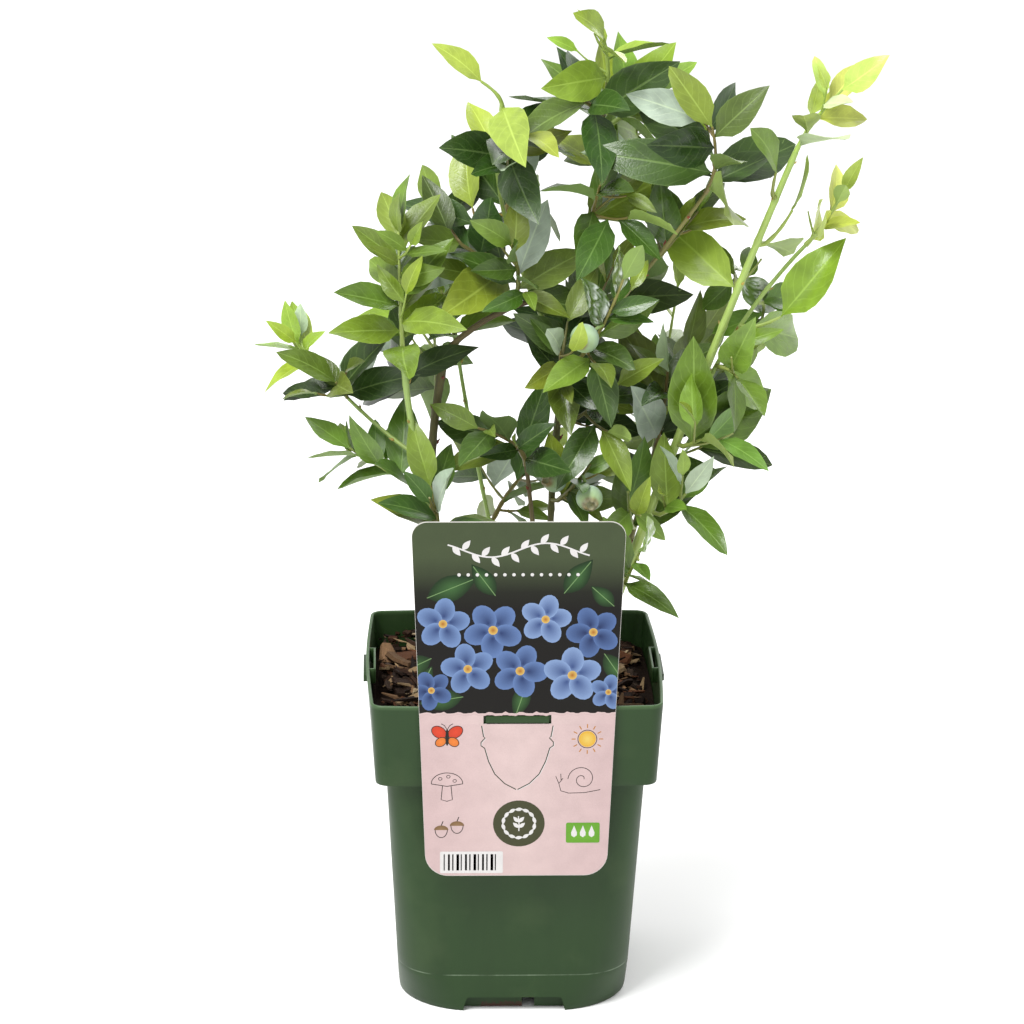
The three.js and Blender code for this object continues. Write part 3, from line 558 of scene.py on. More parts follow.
def make_blade(mass, shoot, at, slot, dice):
    """One leaf at a place along its shoot, with the points that are tested against its neighbours."""
    tangent = curve_tangent(shoot["curve"], at)
    turn = slot * TURN + (dice() - 0.5) * 1.6
    spread = 0.15 if at == 1 else lerp(LEAF["tilt_low"], LEAF["tilt_high"], at)
    tilt = spread + (dice() - 0.5) * 0.6
    along = around_shoot(tangent, turn) * math.sin(tilt) + tangent * math.cos(tilt)
    along[2] -= LEAF["sag"] * dice()
    along = unit(along)
    root = curve_point(shoot["curve"], at) - along * LEAF["sink"]
    facing = unit(np.array([root[0], root[1], 0.0])) * LEAF["outward"]
    facing = facing + np.array([dice() - 0.5, dice() - 0.5, dice() - 0.5]) * LEAF["sway"]
    facing[1] -= LEAF["light"]
    facing[2] += 1
    facing = unit(facing - along * (facing @ along))
    length = mass["leaf_length"] * lerp(1.1, 0.75, at) * (0.85 + 0.35 * dice())
    half = length * LEAF["half_width"] * (0.88 + 0.24 * dice())
    blade = {"root": root, "along": along, "facing": facing, "across": np.cross(facing, along)}
    blade.update(length=length, half=half, place=at, mass=mass)
    blade["centre"] = blade_point(blade, 0.5, 0)
    places = [(1, 0)] + [(u, v) for u in (0.25, 0.45, 0.65, 0.85) for v in (-0.95, 0, 0.95)]
    blade["samples"] = np.array([blade_point(blade, u, v) for u, v in places])
    return blade


def blade_fits(blade, shoot, crowd):
    if not inside_crown(blade["samples"]):
        return False
    reach = blade["length"] * 0.55
    gaps = np.linalg.norm(crowd.centres - blade["centre"], axis=1)
    for i in np.nonzero(gaps < reach + crowd.lengths * 0.55 + CLEARANCE)[0]:
        for one, other in ((blade, crowd.blades[i]), (crowd.blades[i], blade)):
            if near_blade(one, other["samples"], CLEARANCE).any():
                return False
    close = np.linalg.norm(crowd.points - blade["centre"], axis=1) < reach + 4
    close &= crowd.owners != shoot["number"]
    return not near_blade(blade, crowd.points[close], crowd.radii[close] + TWIG_CLEARANCE).any()


def grow_blade(mass, shoot, at, slot, crowd, allowed=None):
    """Tries a leaf a few times, and adds it to the crowd where it fits."""
    dice = seeded_dice(mass["seed"] * SEED_STEP + slot)
    for _ in range(LEAF["tries"]):
        blade = make_blade(mass, shoot, at, slot, dice)
        if blade_fits(blade, shoot, crowd) and (allowed is None or allowed(blade)):
            crowd.add_blade(blade)
            return


def shoot_fits(shoot, parent, crowd):
    points, radii = shoot["marks"][2:], shoot["mark_radii"][2:]
    if not inside_crown(points):
        return False
    others = crowd.owners != parent["number"]
    for point, radius in zip(points, radii):
        gaps = np.linalg.norm(crowd.points[others] - point, axis=1)
        if (gaps < crowd.radii[others] + radius + 1.5).any():
            return False
    return not any(near_blade(blade, points, radii + TWIG_CLEARANCE).any() for blade in crowd.blades)


def grow_twig(mass, stem, at, dice, share, crowd, allowed=None):
    """A side twig leaves the stem at a set angle and turns up a little, where there is room."""
    for _ in range(LEAF["tries"]):
        tangent = curve_tangent(stem["curve"], at)
        tilt = TWIG["tilt"] + (dice() - 0.5) * 0.5
        heading = around_shoot(tangent, dice() * 2 * math.pi) * math.sin(tilt)
        heading = heading + tangent * math.cos(tilt)
        length = mass["leaf_length"] * share * (0.9 + 0.4 * dice())
        start = curve_point(stem["curve"], at)
        middle = start + heading * (length * 0.5)
        tip = middle + heading * (length * 0.5)
        tip[2] += length * 0.12
        twig = make_limb("twig", curve_through(start, middle, tip), TWIG["radius"], TWIG["tip_radius"])
        if shoot_fits(twig, stem, crowd) and (allowed is None or allowed(twig)):
            mass["shoots"].append(twig)
            crowd.add_limb(twig)
            return twig


def grow_berry(mass, stem, index, crowd):
    """A berry hangs under the stem on a short stalk."""
    dice = seeded_dice(mass["seed"] * SEED_STEP + BERRY_SEEDS + index)
    for _ in range(2 * LEAF["tries"]):
        at = 0.3 + 0.6 * dice()
        root = curve_point(stem["curve"], at)
        way = around_shoot(curve_tangent(stem["curve"], at), dice() * 2 * math.pi)
        way[2] -= 0.5
        way = unit(way)
        radius = BERRY["radius"] * (0.85 + 0.25 * dice())
        centre = root + way * (BERRY["stalk"] + radius)
        gaps = np.linalg.norm(crowd.points - centre, axis=1)
        if (gaps < crowd.radii + radius + 1).any():
            continue
        if not any(near_blade(blade, centre, radius + 0.8).any() for blade in crowd.blades):
            crowd.add_limb({"marks": centre[None], "mark_radii": np.array([radius])})
            return {"root": root, "way": way, "centre": centre, "radius": radius}


# %% [markdown]
# ## Growing the masses
#
# All stems are set first, so that no leaf grows through the stem of another mass. Then each mass grows
# its twigs, its berries and its leaves, from the tip back to the foot.

# %% grow the masses
crowd = Crowd()
for limb in limbs.values():
    crowd.add_limb(limb)
masses = []
for name, carrier, at, tip, *counts in MASSES:
    limb, tip = limbs[carrier], np.array(tip, float)
    start, heading = branch_start(limb, at, tip, STEM["radius"])
    control = start + heading * (0.4 * np.linalg.norm(start - tip))
    stem = make_limb(f"{name}_stem", (start, control, tip), STEM["radius"], STEM["tip_radius"])
    stem["joint"] = curve_point(limb["curve"], at)
    facts = zip(("leaves", "twigs", "leaf_length", "berries", "tone", "seed"), counts)
    masses.append({"name": name, "stem": stem, "shoots": [stem], **dict(facts)})
    crowd.add_limb(stem)

berries = []
for mass in masses:
    stem = mass["stem"]
    for i in range(mass["twigs"]):
        dice = seeded_dice(mass["seed"] * SEED_STEP + TWIG_SEEDS + i)
        grow_twig(mass, stem, lerp(0.25, 0.75, (i + dice()) / mass["twigs"]), dice, TWIG["share"], crowd)
    berries += filter(None, [grow_berry(mass, stem, i, crowd) for i in range(mass["berries"])])
    for number, shoot in enumerate(mass["shoots"]):
        count = mass["leaves"] if number == 0 else TWIG["leaves"]
        first_slot, lowest = (0, 0.12) if number == 0 else (30 + 10 * (number - 1), 0.45)
        for i in reversed(range(count)):
            at = 1 if count == 1 else lerp(lowest, 1, i / (count - 1))
            grow_blade(mass, shoot, at, first_slot + i, crowd)
print(len(crowd.blades), "leaves and", len(berries), "berries as in the CAD part")

# %% [markdown]
# ## The pot
#
# A thin square pot with round corners, moulded in one piece: the lower part runs from a rounded foot up to
# a wider collar, and a ledge lies between them. Extruding a square would give flat sides and hard
# corners. Instead one grid is rolled up: its columns go round the pot, its rows follow the wall from the
# middle of the floor's underside, round the foot, up the outside, over the rim and down the inside. Each
# row is a ring with its own half width, corner radius and bow, so the sides belly out as real ones do.

# %% pot: dimensions in millimetres
POT_WALL = [  # height, half width, corner radius and bow of the sides
    (0, 52.0, 35, 0),
    (18, 52.8, 23, 0.4),
    (113.8, 57.8, 9, 0.8),
    (113.8, 62.7, 6, 1.2),
    (152.5, 65.0, 6, 2.0),
]
LEDGE, RIM = POT_WALL[2][0], POT_WALL[4][0]
WALL, SKIRT = 1.5, 2.2
FLOOR_BOTTOM, FLOOR_TOP = 6.5, 8.5
CORNER_STEPS, FLAT_STEPS = 12, 16
ROUND = 4 * (CORNER_STEPS + FLAT_STEPS)


def wall_ring(low, z, inset, moved_to=None):
    """A ring at a height on the stretch of wall above ring `low`, pulled in by inset."""
    (first_z, *first), (second_z, *second) = POT_WALL[low], POT_WALL[low + 1]
    share = (z - first_z) / (second_z - first_z)
    half, corner, bow = (lerp(a, b, share) for a, b in zip(first, second))
    return z if moved_to is None else moved_to, half - inset, max(corner - inset, 3), bow


def middle_ring(z, half):
    return z, half, half * 0.5, 0


def ring_points(z, half, corner, bow):
    """Points of a square ring with round corners and flats that bow outwards."""
    points = []
    centre = half - corner
    for cos, sin in ((1, 0), (0, 1), (-1, 0), (0, -1)):
        for place in range(ROUND // 4):
            if place <= CORNER_STEPS:
                angle = place / CORNER_STEPS * math.pi / 2
                x, y = centre + corner * math.cos(angle), centre + corner * math.sin(angle)
            else:
                share = (place - CORNER_STEPS) / FLAT_STEPS
                x, y = centre * (1 - 2 * share), half + bow * math.sin(math.pi * share)
            points.append((x * cos - y * sin, x * sin + y * cos, z))
    return points


def roll_up(name, rings):
    """A closed skin: a grid whose columns go round and whose rows are the rings, from first to last."""
    rows = len(rings) - 1
    skin = start_with(bpy.ops.mesh.primitive_grid_add, x_subdivisions=ROUND, y_subdivisions=rows, size=2)
    skin.name = name
    table = np.array([ring_points(*ring) for ring in rings]) * MM
    x, y, _ = np.array([v.co for v in skin.data.vertices]).T
    column = np.round((x + 1) / 2 * ROUND).astype(int) % ROUND
    row = np.round((y + 1) / 2 * rows).astype(int)
    skin.data.vertices.foreach_set("co", table[row, column].ravel())
    edit_all()
    bpy.ops.mesh.remove_doubles(threshold=0.00003)
    bpy.ops.mesh.normals_make_consistent(inside=False)
    close_edit()
    return skin


# %% pot: the skin
# Ring by ring: the ring of POT_WALL below it, its height, and how far it is pulled in from the wall.
SKIN = [(0, FLOOR_BOTTOM, SKIRT + 0.8), (0, 5.9, SKIRT), (0, 0.5, SKIRT), (0, 0.1, SKIRT - 0.3)]
SKIN += [(0, 0, SKIRT - 0.8), (0, 0, 0.7), (0, 0.15, 0.25), (0, 0.6, 0)]  # the foot's lower edge
SKIN += [(0, z, 0) for z in (3, 6, 9, 12, 15, 17.2)]
SKIN += [(0, 17.7, 0.12), (1, 18.3, 0.12), (1, 18.8, 0)]  # the parting line
SKIN += [(1, z, 0) for z in (24, 34, 46, 58, 70, 82, 94, 104, 110, 112.9)]
SKIN += [(1, 113.5, -0.15), (1, LEDGE, -0.7)]  # the ledge under the collar
SKIN += [(3, LEDGE, 0.6), (3, LEDGE + 0.15, 0.18), (3, LEDGE + 0.6, 0)]
SKIN += [(3, z, 0) for z in (118, 124, 130, 136, 142, 147, 151.3)]  # the collar
SKIN += [(3, RIM - 0.35, 0.05), (3, RIM - 0.05, 0.35), (3, RIM, 0.75)]  # over the rim
SKIN += [(3, RIM - 0.05, 1.15), (3, RIM - 0.35, 1.45)]
SKIN += [(3, z, WALL) for z in (151.3, 147, 140, 132, 124, 117)]  # and down the inside
SKIN += [(3, LEDGE + WALL + 0.4, WALL), (3, LEDGE + WALL, WALL + 0.5), (1, LEDGE + WALL, WALL - 0.5)]
SKIN += [(1, z, WALL) for z in (113.4, 104, 84, 64, 44, 24)] + [(0, z, WALL) for z in (17, 11.5, 9.4)]
SKIN += [(0, FLOOR_TOP + 0.2, WALL + 0.6), (0, FLOOR_TOP, WALL + 1.6)]
underside = [middle_ring(FLOOR_BOTTOM, half) for half in (0.01, 9, 24)]
floor_inside = [middle_ring(FLOOR_TOP, half) for half in (30, 12, 0.01)]
pot = roll_up("pot_shell", underside + [wall_ring(*row) for row in SKIN] + floor_inside)
print("pot skin:", len(pot.data.polygons), "faces")

# %% [markdown]
# ## Cutting the foot
#
# The foot stands on its four corners: each side has a low wide arch. Drain holes lie beside the middle of
# the floor. Solid cutters and Boolean modifiers are the plain way to do this, and each is applied at once.

# %% pot: arches and drain holes
ARCH = {"top": 7.0, "width_top": 43, "width_foot": 47, "depth": 8}
HOLE = {"radius": 3.5, "reach": 27, "middle": 7.5, "depth": 12}
for quarter in range(4):
    half, outside = ARCH["width_foot"] / 2, -POT_WALL[0][1] - 2
    arch = block((-half, outside, -1), (half, outside + ARCH["depth"], ARCH["top"]))
    select_points(arch, lambda co: co.z > 0.001)
    resize(ARCH["width_top"] / ARCH["width_foot"], 1, 1)
    bpy.ops.mesh.select_mode(type="EDGE")
    bpy.ops.mesh.select_all(action="DESELECT")
    close_edit()
    for edge in arch.data.edges:
        a, b = [arch.data.vertices[i].co for i in edge.vertices]
        edge.select = a.z > 0.001 and b.z > 0.001 and abs(a.x - b.x) < 0.001
    bpy.ops.object.mode_set(mode="EDIT")
    bpy.ops.mesh.bevel(offset=1.2 * MM, segments=3, affect="EDGES")
    close_edit()
    cut_away(pot, quarter_turns(arch, quarter))
for x, y in ((1, 1), (-1, 1), (-1, -1), (1, -1)):
    middle = (x * HOLE["reach"], y * HOLE["reach"], HOLE["middle"])
    cut_away(pot, post(middle, 28, HOLE["radius"], HOLE["depth"]))
print("pot with arches and holes:", len(pot.data.polygons), "faces")

# %% [markdown]
# ## Small parts of the pot
#
# Under the floor a ring of thin wall stands a little way in, open at four places, and a round boss in the
# middle carries the weight. Inside the rim each side has a narrow pocket that a label can be pushed
# into, and outside it a short rest keeps the label off the wall. These are plain bars with softened
# edges, so they start as cubes, cylinders and rings and are joined to the skin.

# %% pot: ring wall, boss, pockets and rests
LABEL_REST = {"half": 14, "bottom": 145.7, "top": 148.9, "proud": 68.1}
POCKET = {"half": 14.5, "slot": 2, "strip": 1, "leg": 1.2, "bottom": 145, "top": 152}
RING_WALL = {"half": 47, "corner": 24, "foot": 0.4, "gap": 5.5, "gap_at": 6.5, "boss": 8}
_, rim_half, _, rim_bow = POT_WALL[4]
wall_inside = rim_half + rim_bow - WALL
inner, outer = wall_inside - POCKET["slot"] - POCKET["strip"], wall_inside + 0.7
half, low, high = POCKET["half"], POCKET["bottom"], POCKET["top"]
BARS = [
    ((-half, -inner - POCKET["strip"], low), (half, -inner, high)),
    ((-half, -outer, low), (-half + POCKET["leg"], -inner - 0.3, high)),
    ((half - POCKET["leg"], -outer, low), (half, -inner - 0.3, high)),
    ((-LABEL_REST["half"], -LABEL_REST["proud"], LABEL_REST["bottom"]),
     (LABEL_REST["half"], -rim_half, LABEL_REST["top"])),
]
extras = []
for quarter in range(4):
    for corners in BARS:
        bar = block(*corners)
        edit_all()
        bpy.ops.mesh.bevel(offset=0.25 * MM, segments=2, affect="EDGES")
        close_edit()
        extras.append(quarter_turns(bar, quarter))
foot, head = RING_WALL["foot"], FLOOR_BOTTOM + 0.5
half, corner = RING_WALL["half"], RING_WALL["corner"]
loop = [(foot, half, corner, 0), (head, half, corner, 0)]
loop += [(head, half - WALL, corner - WALL, 0), (foot, half - WALL, corner - WALL, 0)]
ring_wall = roll_up("ring_wall", loop + [loop[0]])
for quarter in (0, 1):
    gap_low, gap_high = (RING_WALL["gap_at"] + side * RING_WALL["gap"] / 2 for side in (-1, 1))
    cut_away(ring_wall, quarter_turns(block((gap_low, -100, -15), (gap_high, 100, 15)), quarter))
boss_top = FLOOR_TOP * 0.9
boss = post((0, 0, boss_top / 2), 48, RING_WALL["boss"], boss_top)
modify(boss, "BEVEL", width=0.5 * MM, segments=3)
select_only(pot)
for extra in (*extras, ring_wall, boss):
    extra.select_set(True)
bpy.ops.object.join()
print("whole pot:", len(pot.data.polygons), "faces")

# %% [markdown]
# ## Pot finish
#
# The pot is dark green polypropylene with a satin skin. Close up it isn't even: the melt leaves faint
# upright streaks, the fine spark-eroded grain of the mould breaks the gloss, and the rim and the corners
# of the foot are rubbed paler. Here only the top of the rim is made paler, as wear and as a painted
# highlight where the lip catches the light. The mould's parting line shows as a thin pale scuffed line
# above the foot, and peat that was washed out clings to the wall behind the front arch. All of it reads
# the object's own coordinates, in metres, so a scale of 900 makes grains of about a millimetre. The stain
# is marked on the points there, and the shader breaks it up with a noise.

# %% pot material
pot_plastic, shader, add = new_material("Moulded_green_polypropylene")
where = add("TexCoord", out=3)
stretched = add("Mapping", [where], Scale=(1.0, 1.0, 0.16))
streaks = add("TexNoise", [stretched], Scale=85.0, Detail=5.0)
grain = add("TexNoise", [where], Scale=2600.0, Detail=2.0)
smudges = add("TexNoise", [where], Scale=32.0, Detail=4.0)
green = add("Mix", {0: streaks, 6: "#1b3014", 7: "#243c1a"}, **COLOUR_MIX)
height = add("SeparateXYZ", [where], out=2)
# The top of the rim is mixed paler: rubbed wear, and a painted highlight where the lip catches the light.
rim_worn_and_lit = add("MapRange", [height, 0.1505, 0.1525, 0.0, 0.35])
worn = add("Mix", {0: rim_worn_and_lit, 6: green, 7: "#5c7a50"}, **COLOUR_MIX)
dusty = add("MapRange", [smudges, 0.55, 0.8, 0.0, 0.12])
dust = add("Mix", {0: dusty, 6: worn, 7: "#5d6a4a"}, **COLOUR_MIX)
from_line = add("Math", [height, 0.0182], operation="SUBTRACT")
off_line = add("Math", [from_line], operation="ABSOLUTE")
scuffs = add("MapRange", [streaks, 0.36, 0.6, 0.0, 0.5])
on_line = add("MapRange", [off_line, 0.0002, 0.0004, scuffs, 0.0])
lined = add("Mix", {0: on_line, 6: dust, 7: "#7f9078"}, **COLOUR_MIX)
stain = add("Attribute", out=2, attribute_name="peat")
clots = add("TexNoise", [where], Scale=700.0, Detail=4.0)
clotted = add("Math", [stain, clots], operation="MULTIPLY")
stained = add("MapRange", [clotted, 0.3, 0.45])
peaty = add("Mix", {0: stained, 6: lined, 7: "#3c2217"}, **COLOUR_MIX)
gloss = add("MapRange", [smudges, 0.3, 0.7, 0.36, 0.5])
relief = add("Bump", {"Height": grain}, Strength=0.14, Distance=0.0001)
fill(shader, {"Base Color": peaty, "Roughness": gloss, "Specular IOR Level": 0.24, "Normal": relief})
STAIN = {"left": -14.5, "right": 4, "top": 6.8, "back": -44}  # behind the front arch, in millimetres
x, y, z = np.array([v.co for v in pot.data.vertices]).T / MM
behind_arch = (x > STAIN["left"]) & (x < STAIN["right"]) & (y < STAIN["back"]) & (z < STAIN["top"])
peat_left = pot.data.attributes.new("peat", "FLOAT", "POINT")
peat_left.data.foreach_set("value", behind_arch.astype(np.float32))
pot.data.materials.clear()
pot.data.materials.append(pot_plastic)
finish_piece(pot, 32, "pot", "pot")

# %% [markdown]
# ## Potting mix and bark
#
# The pot is filled with a dark peaty mix, and coarse bark lies on top: flat chips, long splinters and
# crumbs, in tan, red-brown and near black. The mix itself is a closed skin like the pot, with a rough top.
# The bits are modelled once each and strewn as copies. They lie at a low slope, deeper ones first.

# %% mix: the rough body
MIX = {"edge_top": 135.5, "flat_half": 44, "wall_gap": 0.4, "rough": 1.3, "top_rings": 26, "sunk": 0.9,
       "edge_bow": 1.8}
inset = WALL + MIX["wall_gap"]
ledge = LEDGE + inset
body = [middle_ring(FLOOR_TOP + 0.4, half) for half in (0.01, 30)]
body += [wall_ring(0, FLOOR_TOP + 0.4, inset), wall_ring(1, 30, inset), wall_ring(1, 70, inset)]
body += [wall_ring(1, LEDGE, inset, ledge)]
body += [wall_ring(3, z, inset) for z in (ledge, 125, MIX["edge_top"])]
edge_half = body[-1][1]
for k in range(1, MIX["top_rings"] + 1):
    half = lerp(edge_half, 0.01, k / MIX["top_rings"])
    rise = min(1, (edge_half - half) / (edge_half - MIX["flat_half"]))
    z = lerp(MIX["edge_top"], MIX_TOP, rise) - MIX["sunk"]
    body.append((z, half, min(6 + k, half * 0.5), MIX["edge_bow"] * (1 - rise)))
mix = roll_up("mix_body", body)
soil_noise = np.random.default_rng(11)
points = np.array([v.co for v in mix.data.vertices]) / MM
x, y, z = points.T
is_top = (z > MIX["edge_top"] - 1.5) & (np.maximum(np.abs(x), np.abs(y)) < edge_half - 0.8)
LUMPS = ((0.31, 0.4, 1.9, 0.5), (0.74, 2.1, 0.3, 0.35), (1.6, 0.9, 2.7, 0.25))  # waves, coarse to fine
lumps = sum(np.sin(x * f + p) * np.sin(y * f * 1.13 + q) * a for f, p, q, a in LUMPS)
points[:, 2] += np.where(is_top, lumps * MIX["rough"] + soil_noise.uniform(-0.5, 0.5, len(points)), 0)
mix.data.vertices.foreach_set("co", (points * MM).ravel())
print("mix body:", len(mix.data.polygons), "faces, top at", points[:, 2].max().round(1), "mm")

# %% mix: bits of bark, modelled once each


def bit_shape(size, cuts, seed, taper, chunky):
    """The points and faces of one bit of bark of unit length, from a cube that is cut up and roughened."""
    chance = np.random.default_rng(seed)
    bit = start_with(bpy.ops.mesh.primitive_cube_add, size=1)
    bit.scale = size
    bpy.ops.object.transform_apply(location=False, rotation=False, scale=True)
    edit_all()
    if cuts:
        bpy.ops.mesh.subdivide(number_cuts=cuts)
    close_edit()
    points, faces = taken_apart(bit)
    narrow = 1 - taper * np.clip(np.abs(points[:, 0]) * 2, 0, 1) ** 2
    points[:, 1] *= narrow * (1 + chance.uniform(-0.35, 0.35, len(points)))
    points[:, 2] *= narrow
    points += chance.uniform(-1, 1, points.shape) * np.array([0.03, 0.03, 0.035]) * chunky
    points[:, 2] += 0.12 * points[:, 0] ** 2
    return points, faces


BITS = {
    "chip": [bit_shape((1, 0.42, 0.16), 1, seed, 0.35, 1.2) for seed in (1, 2, 3, 4)],
    "splinter": [bit_shape((1, 0.12, 0.07), 1, seed, 0.75, 0.5) for seed in (5, 6, 7)],
    "crumb": [bit_shape((1, 0.8, 0.6), 0, seed, 0.0, 6.0) for seed in (8, 9, 10)],
}
print({kind: [len(faces) for _, faces in shapes] for kind, shapes in BITS.items()}, "faces in a bit")

# %% mix: strewing
STREWN = [("crumb", 700, (1.2, 3.6)), ("chip", 330, (6, 19)), ("splinter", 460, (8, 28))]
BARK_TONES = ["#2e2019", "#3d2a1f", "#553726", "#6e4630", "#8a6a4d", "#b0936e", "#c6b08d", "#4a3b31"]
TONE_ODDS = [0.2, 0.17, 0.16, 0.12, 0.12, 0.1, 0.06, 0.07]
LITTER = {"half": 60.5, "widest": 61.8, "highest": 148.5, "off_cane": 2.6, "fibres": 31}
HEAP = {"x": -48, "y": 40, "reach": 46, "rise": 7.5}  # bark lies deeper at the left and the back
chance = np.random.default_rng(23)
feet = np.array([foot for _, foot, *_ in CANES], float)
bark_pile, bit_rows = Pile(), []
for kind, count, (short, long) in STREWN:
    for _ in range(count):
        shape, faces = BITS[kind][chance.integers(len(BITS[kind]))]
        length = lerp(short, long, chance.random() ** 1.8)  # more short bits than long ones
        x, y = chance.uniform(-LITTER["half"], LITTER["half"], 2)
        turn, tip, roll = chance.uniform(0, 2 * np.pi), chance.normal(0, 0.24), chance.normal(0, 0.45)
        rise = min(1, (LITTER["half"] - max(abs(x), abs(y))) / (LITTER["half"] - MIX["flat_half"]))
        heap = HEAP["rise"] * max(0, 1 - math.hypot(x - HEAP["x"], (y - HEAP["y"]) / 2) / HEAP["reach"])
        z = lerp(MIX["edge_top"], MIX_TOP, rise) + heap + chance.uniform(-0.9, 1.6)
        spin = Matrix.Rotation(turn, 3, "Z") @ Matrix.Rotation(tip, 3, "Y") @ Matrix.Rotation(roll, 3, "X")
        placed = shape * length @ np.array(spin).T + (x, y, z)
        near_cane = np.linalg.norm(feet - (x, y), axis=1).min() < LITTER["off_cane"] + length * 0.3
        across, up = np.abs(placed[:, :2]).max(), placed[:, 2].max()
        if near_cane or across > LITTER["widest"] or up > LITTER["highest"]:
            continue
        along_bit, across_bit = shape[:, 0] * length, shape[:, 1] * length
        bit_rows.append(np.column_stack([along_bit, across_bit + LITTER["fibres"] * chance.random()]))
        tone = tone_of(BARK_TONES[chance.choice(len(BARK_TONES), p=TONE_ODDS)])
        bark_pile.add(placed, faces, tone * chance.uniform(0.28, 0.85))
print(len(bit_rows), "bits of bark strewn,", len(bark_pile.faces), "faces")

# %% [markdown]
# ## Finish of the mix
#
# Peat is almost black and wholly matt. Bark is dry wood: fibres run along each bit, so its map carries
# the length in u, and a noise that is stretched along u draws the fibres in their own tones, with painted
# shade in the hollows that the same noise gives the bump.

# %% mix materials
peat, shader, add = new_material("Dark_peat")
clods = add("TexNoise", [add("TexCoord", out=3)], Scale=420.0, Detail=6.0, Roughness=0.7)
peat_colour = add("Mix", {0: clods, 6: "#0b0705", 7: "#2a1c14"}, **COLOUR_MIX)
relief = add("Bump", {"Height": clods}, Strength=0.9, Distance=0.001)
fill(shader, {"Base Color": peat_colour, "Roughness": 0.95, "Specular IOR Level": 0.1, "Normal": relief})
mix.data.materials.append(peat)
finish_piece(mix, 50, "potting_mix", "potting_mix")
bark, shader, add = new_material("Shredded_pine_bark")
tone = add("Attribute", attribute_name="bark_tone")
stretched = add("Mapping", [add("UVMap", uv_map="fibre")], Scale=(0.35, 5.5, 1.0))
fibres = add("TexNoise", [stretched], Scale=1.0, Detail=4.0, Roughness=0.65)
# The fibres' own tone, with painted shade: darkest where the bump has its hollows.
lit = add("MapRange", [fibres, 0.3, 0.7, 0.45, 1.45])
bark_colour = add("VectorMath", {0: tone, "Scale": lit}, operation="SCALE")
relief = add("Bump", {"Height": fibres}, Strength=0.7, Distance=0.0004)
fill(shader, {"Base Color": bark_colour, "Roughness": 0.85, "Specular IOR Level": 0.12, "Normal": relief})
litter = bark_pile.made("bark_litter", bark, "bark_tone")
corners = np.zeros(len(litter.data.loops), int)
litter.data.loops.foreach_get("vertex_index", corners)
store_map(litter, "fibre", np.vstack(bit_rows)[corners])
finish_piece(litter, 40, "potting_mix", "potting_mix")

# %% [markdown]
# ## The label
#
# A stiff printed card stands in front of the pot and hangs on its rim by a tongue that is cut out of the
# middle. The card narrows a little towards its foot and has round corners. It starts as a plane: its
# lower edge is scaled, its corners are bevelled as vertices, and a Solidify modifier gives the thickness.
# The slot and the cut line of the tongue are real cuts.

# %% label: the card
LABEL = {"bottom": 73, "top": 239, "half_top": 47, "half_foot": 40.3, "corner_top": 7, "corner_foot": 10}
CARD_FRONT, CARD_BACK = -67.7, -67.1
WINDOW = {"half": 15, "bottom": 145.2, "top": 149.4}
card = start_with(bpy.ops.mesh.primitive_plane_add, size=2)
card.name = "label_card"
middle_z = (LABEL["top"] + LABEL["bottom"]) / 2
half_height = (LABEL["top"] - LABEL["bottom"]) / 2
edit_all()
resize(LABEL["half_top"] * MM, half_height * MM, 1)
select_points(card, lambda co: co.y < 0)
resize(LABEL["half_foot"] / LABEL["half_top"], 1, 1)
for corner, side in (("corner_foot", -1), ("corner_top", 1)):
    select_points(card, lambda co: co.y * side > half_height * MM * 0.99)
    bpy.ops.mesh.bevel(offset=LABEL[corner] * MM, segments=8, affect="VERTICES", profile=0.5)
close_edit()
stand_up = Matrix.Translation((0, CARD_FRONT * MM, middle_z * MM)) @ Matrix.Rotation(math.pi / 2, 4, "X")
card.data.transform(stand_up)
card_rim = np.array([card.data.vertices[i].co for i in card.data.polygons[0].vertices])[:, [0, 2]] / MM
modify(card, "SOLIDIFY", thickness=(CARD_BACK - CARD_FRONT) * MM, offset=-1)
y_range = [v.co.y / MM for v in card.data.vertices]
print("card from y", round(min(y_range), 2), "to", round(max(y_range), 2), "mm")

# %% label: the slot and the tongue
# Half of the tongue's cut line, from the top corner down to the point: (x, z) in millimetres.
TONGUE = [(15.8, 144.4), (14.9, 139.2), (14.2, 138.6), (16.0, 136.6), (16.0, 135.0), (14.4, 133.8),
          (12.6, 127.5), (9.8, 121.5), (5.4, 117.0), (0.3, 114.2)]
CUT_WIDTH = 0.45


def ribbon(line, width):
    """The two sides of a line drawn with a pen of that width."""
    line = np.asarray(line, float)
    ahead = np.gradient(line, axis=0)
    ahead = ahead / np.linalg.norm(ahead, axis=1)[:, None]
    aside = np.column_stack([-ahead[:, 1], ahead[:, 0]]) * width / 2
    return line + aside, line - aside


def prism_through_card(left, right):
    """A solid between two lines that passes through the card."""
    count = len(left)
    points = [(x, y, z) for y in (CARD_FRONT - 1, CARD_BACK + 1) for x, z in np.vstack([left, right])]
    faces = []
    for i in range(count - 1):
        a, b, c, d = i, i + 1, count + i + 1, count + i
        faces += [(a, b, c, d), tuple(k + 2 * count for k in (d, c, b, a))]
        faces += [(a, 2 * count + a, 2 * count + b, b), (c, 2 * count + c, 2 * count + d, d)]
    for a, b in ((0, count), (2 * count - 1, count - 1)):
        faces.append((a, b, 2 * count + b, 2 * count + a))
    solid = mesh_object("card_cutter", points, faces, None)
    select_only(solid)
    edit_all()
    bpy.ops.mesh.normals_make_consistent(inside=False)
    close_edit()
    return solid


ends = (-WINDOW["half"], WINDOW["half"])
slot_foot, slot_head = ([(x, WINDOW[edge]) for x in ends] for edge in ("bottom", "top"))
cut_away(card, prism_through_card(slot_foot, slot_head))
CUT_LINES = [[(side * x, z) for x, z in TONGUE] for side in (-1, 1)]
for cut_line in CUT_LINES:
    cut_away(card, prism_through_card(*ribbon(cut_line, CUT_WIDTH)))
print("card with its cuts:", len(card.data.polygons), "faces")

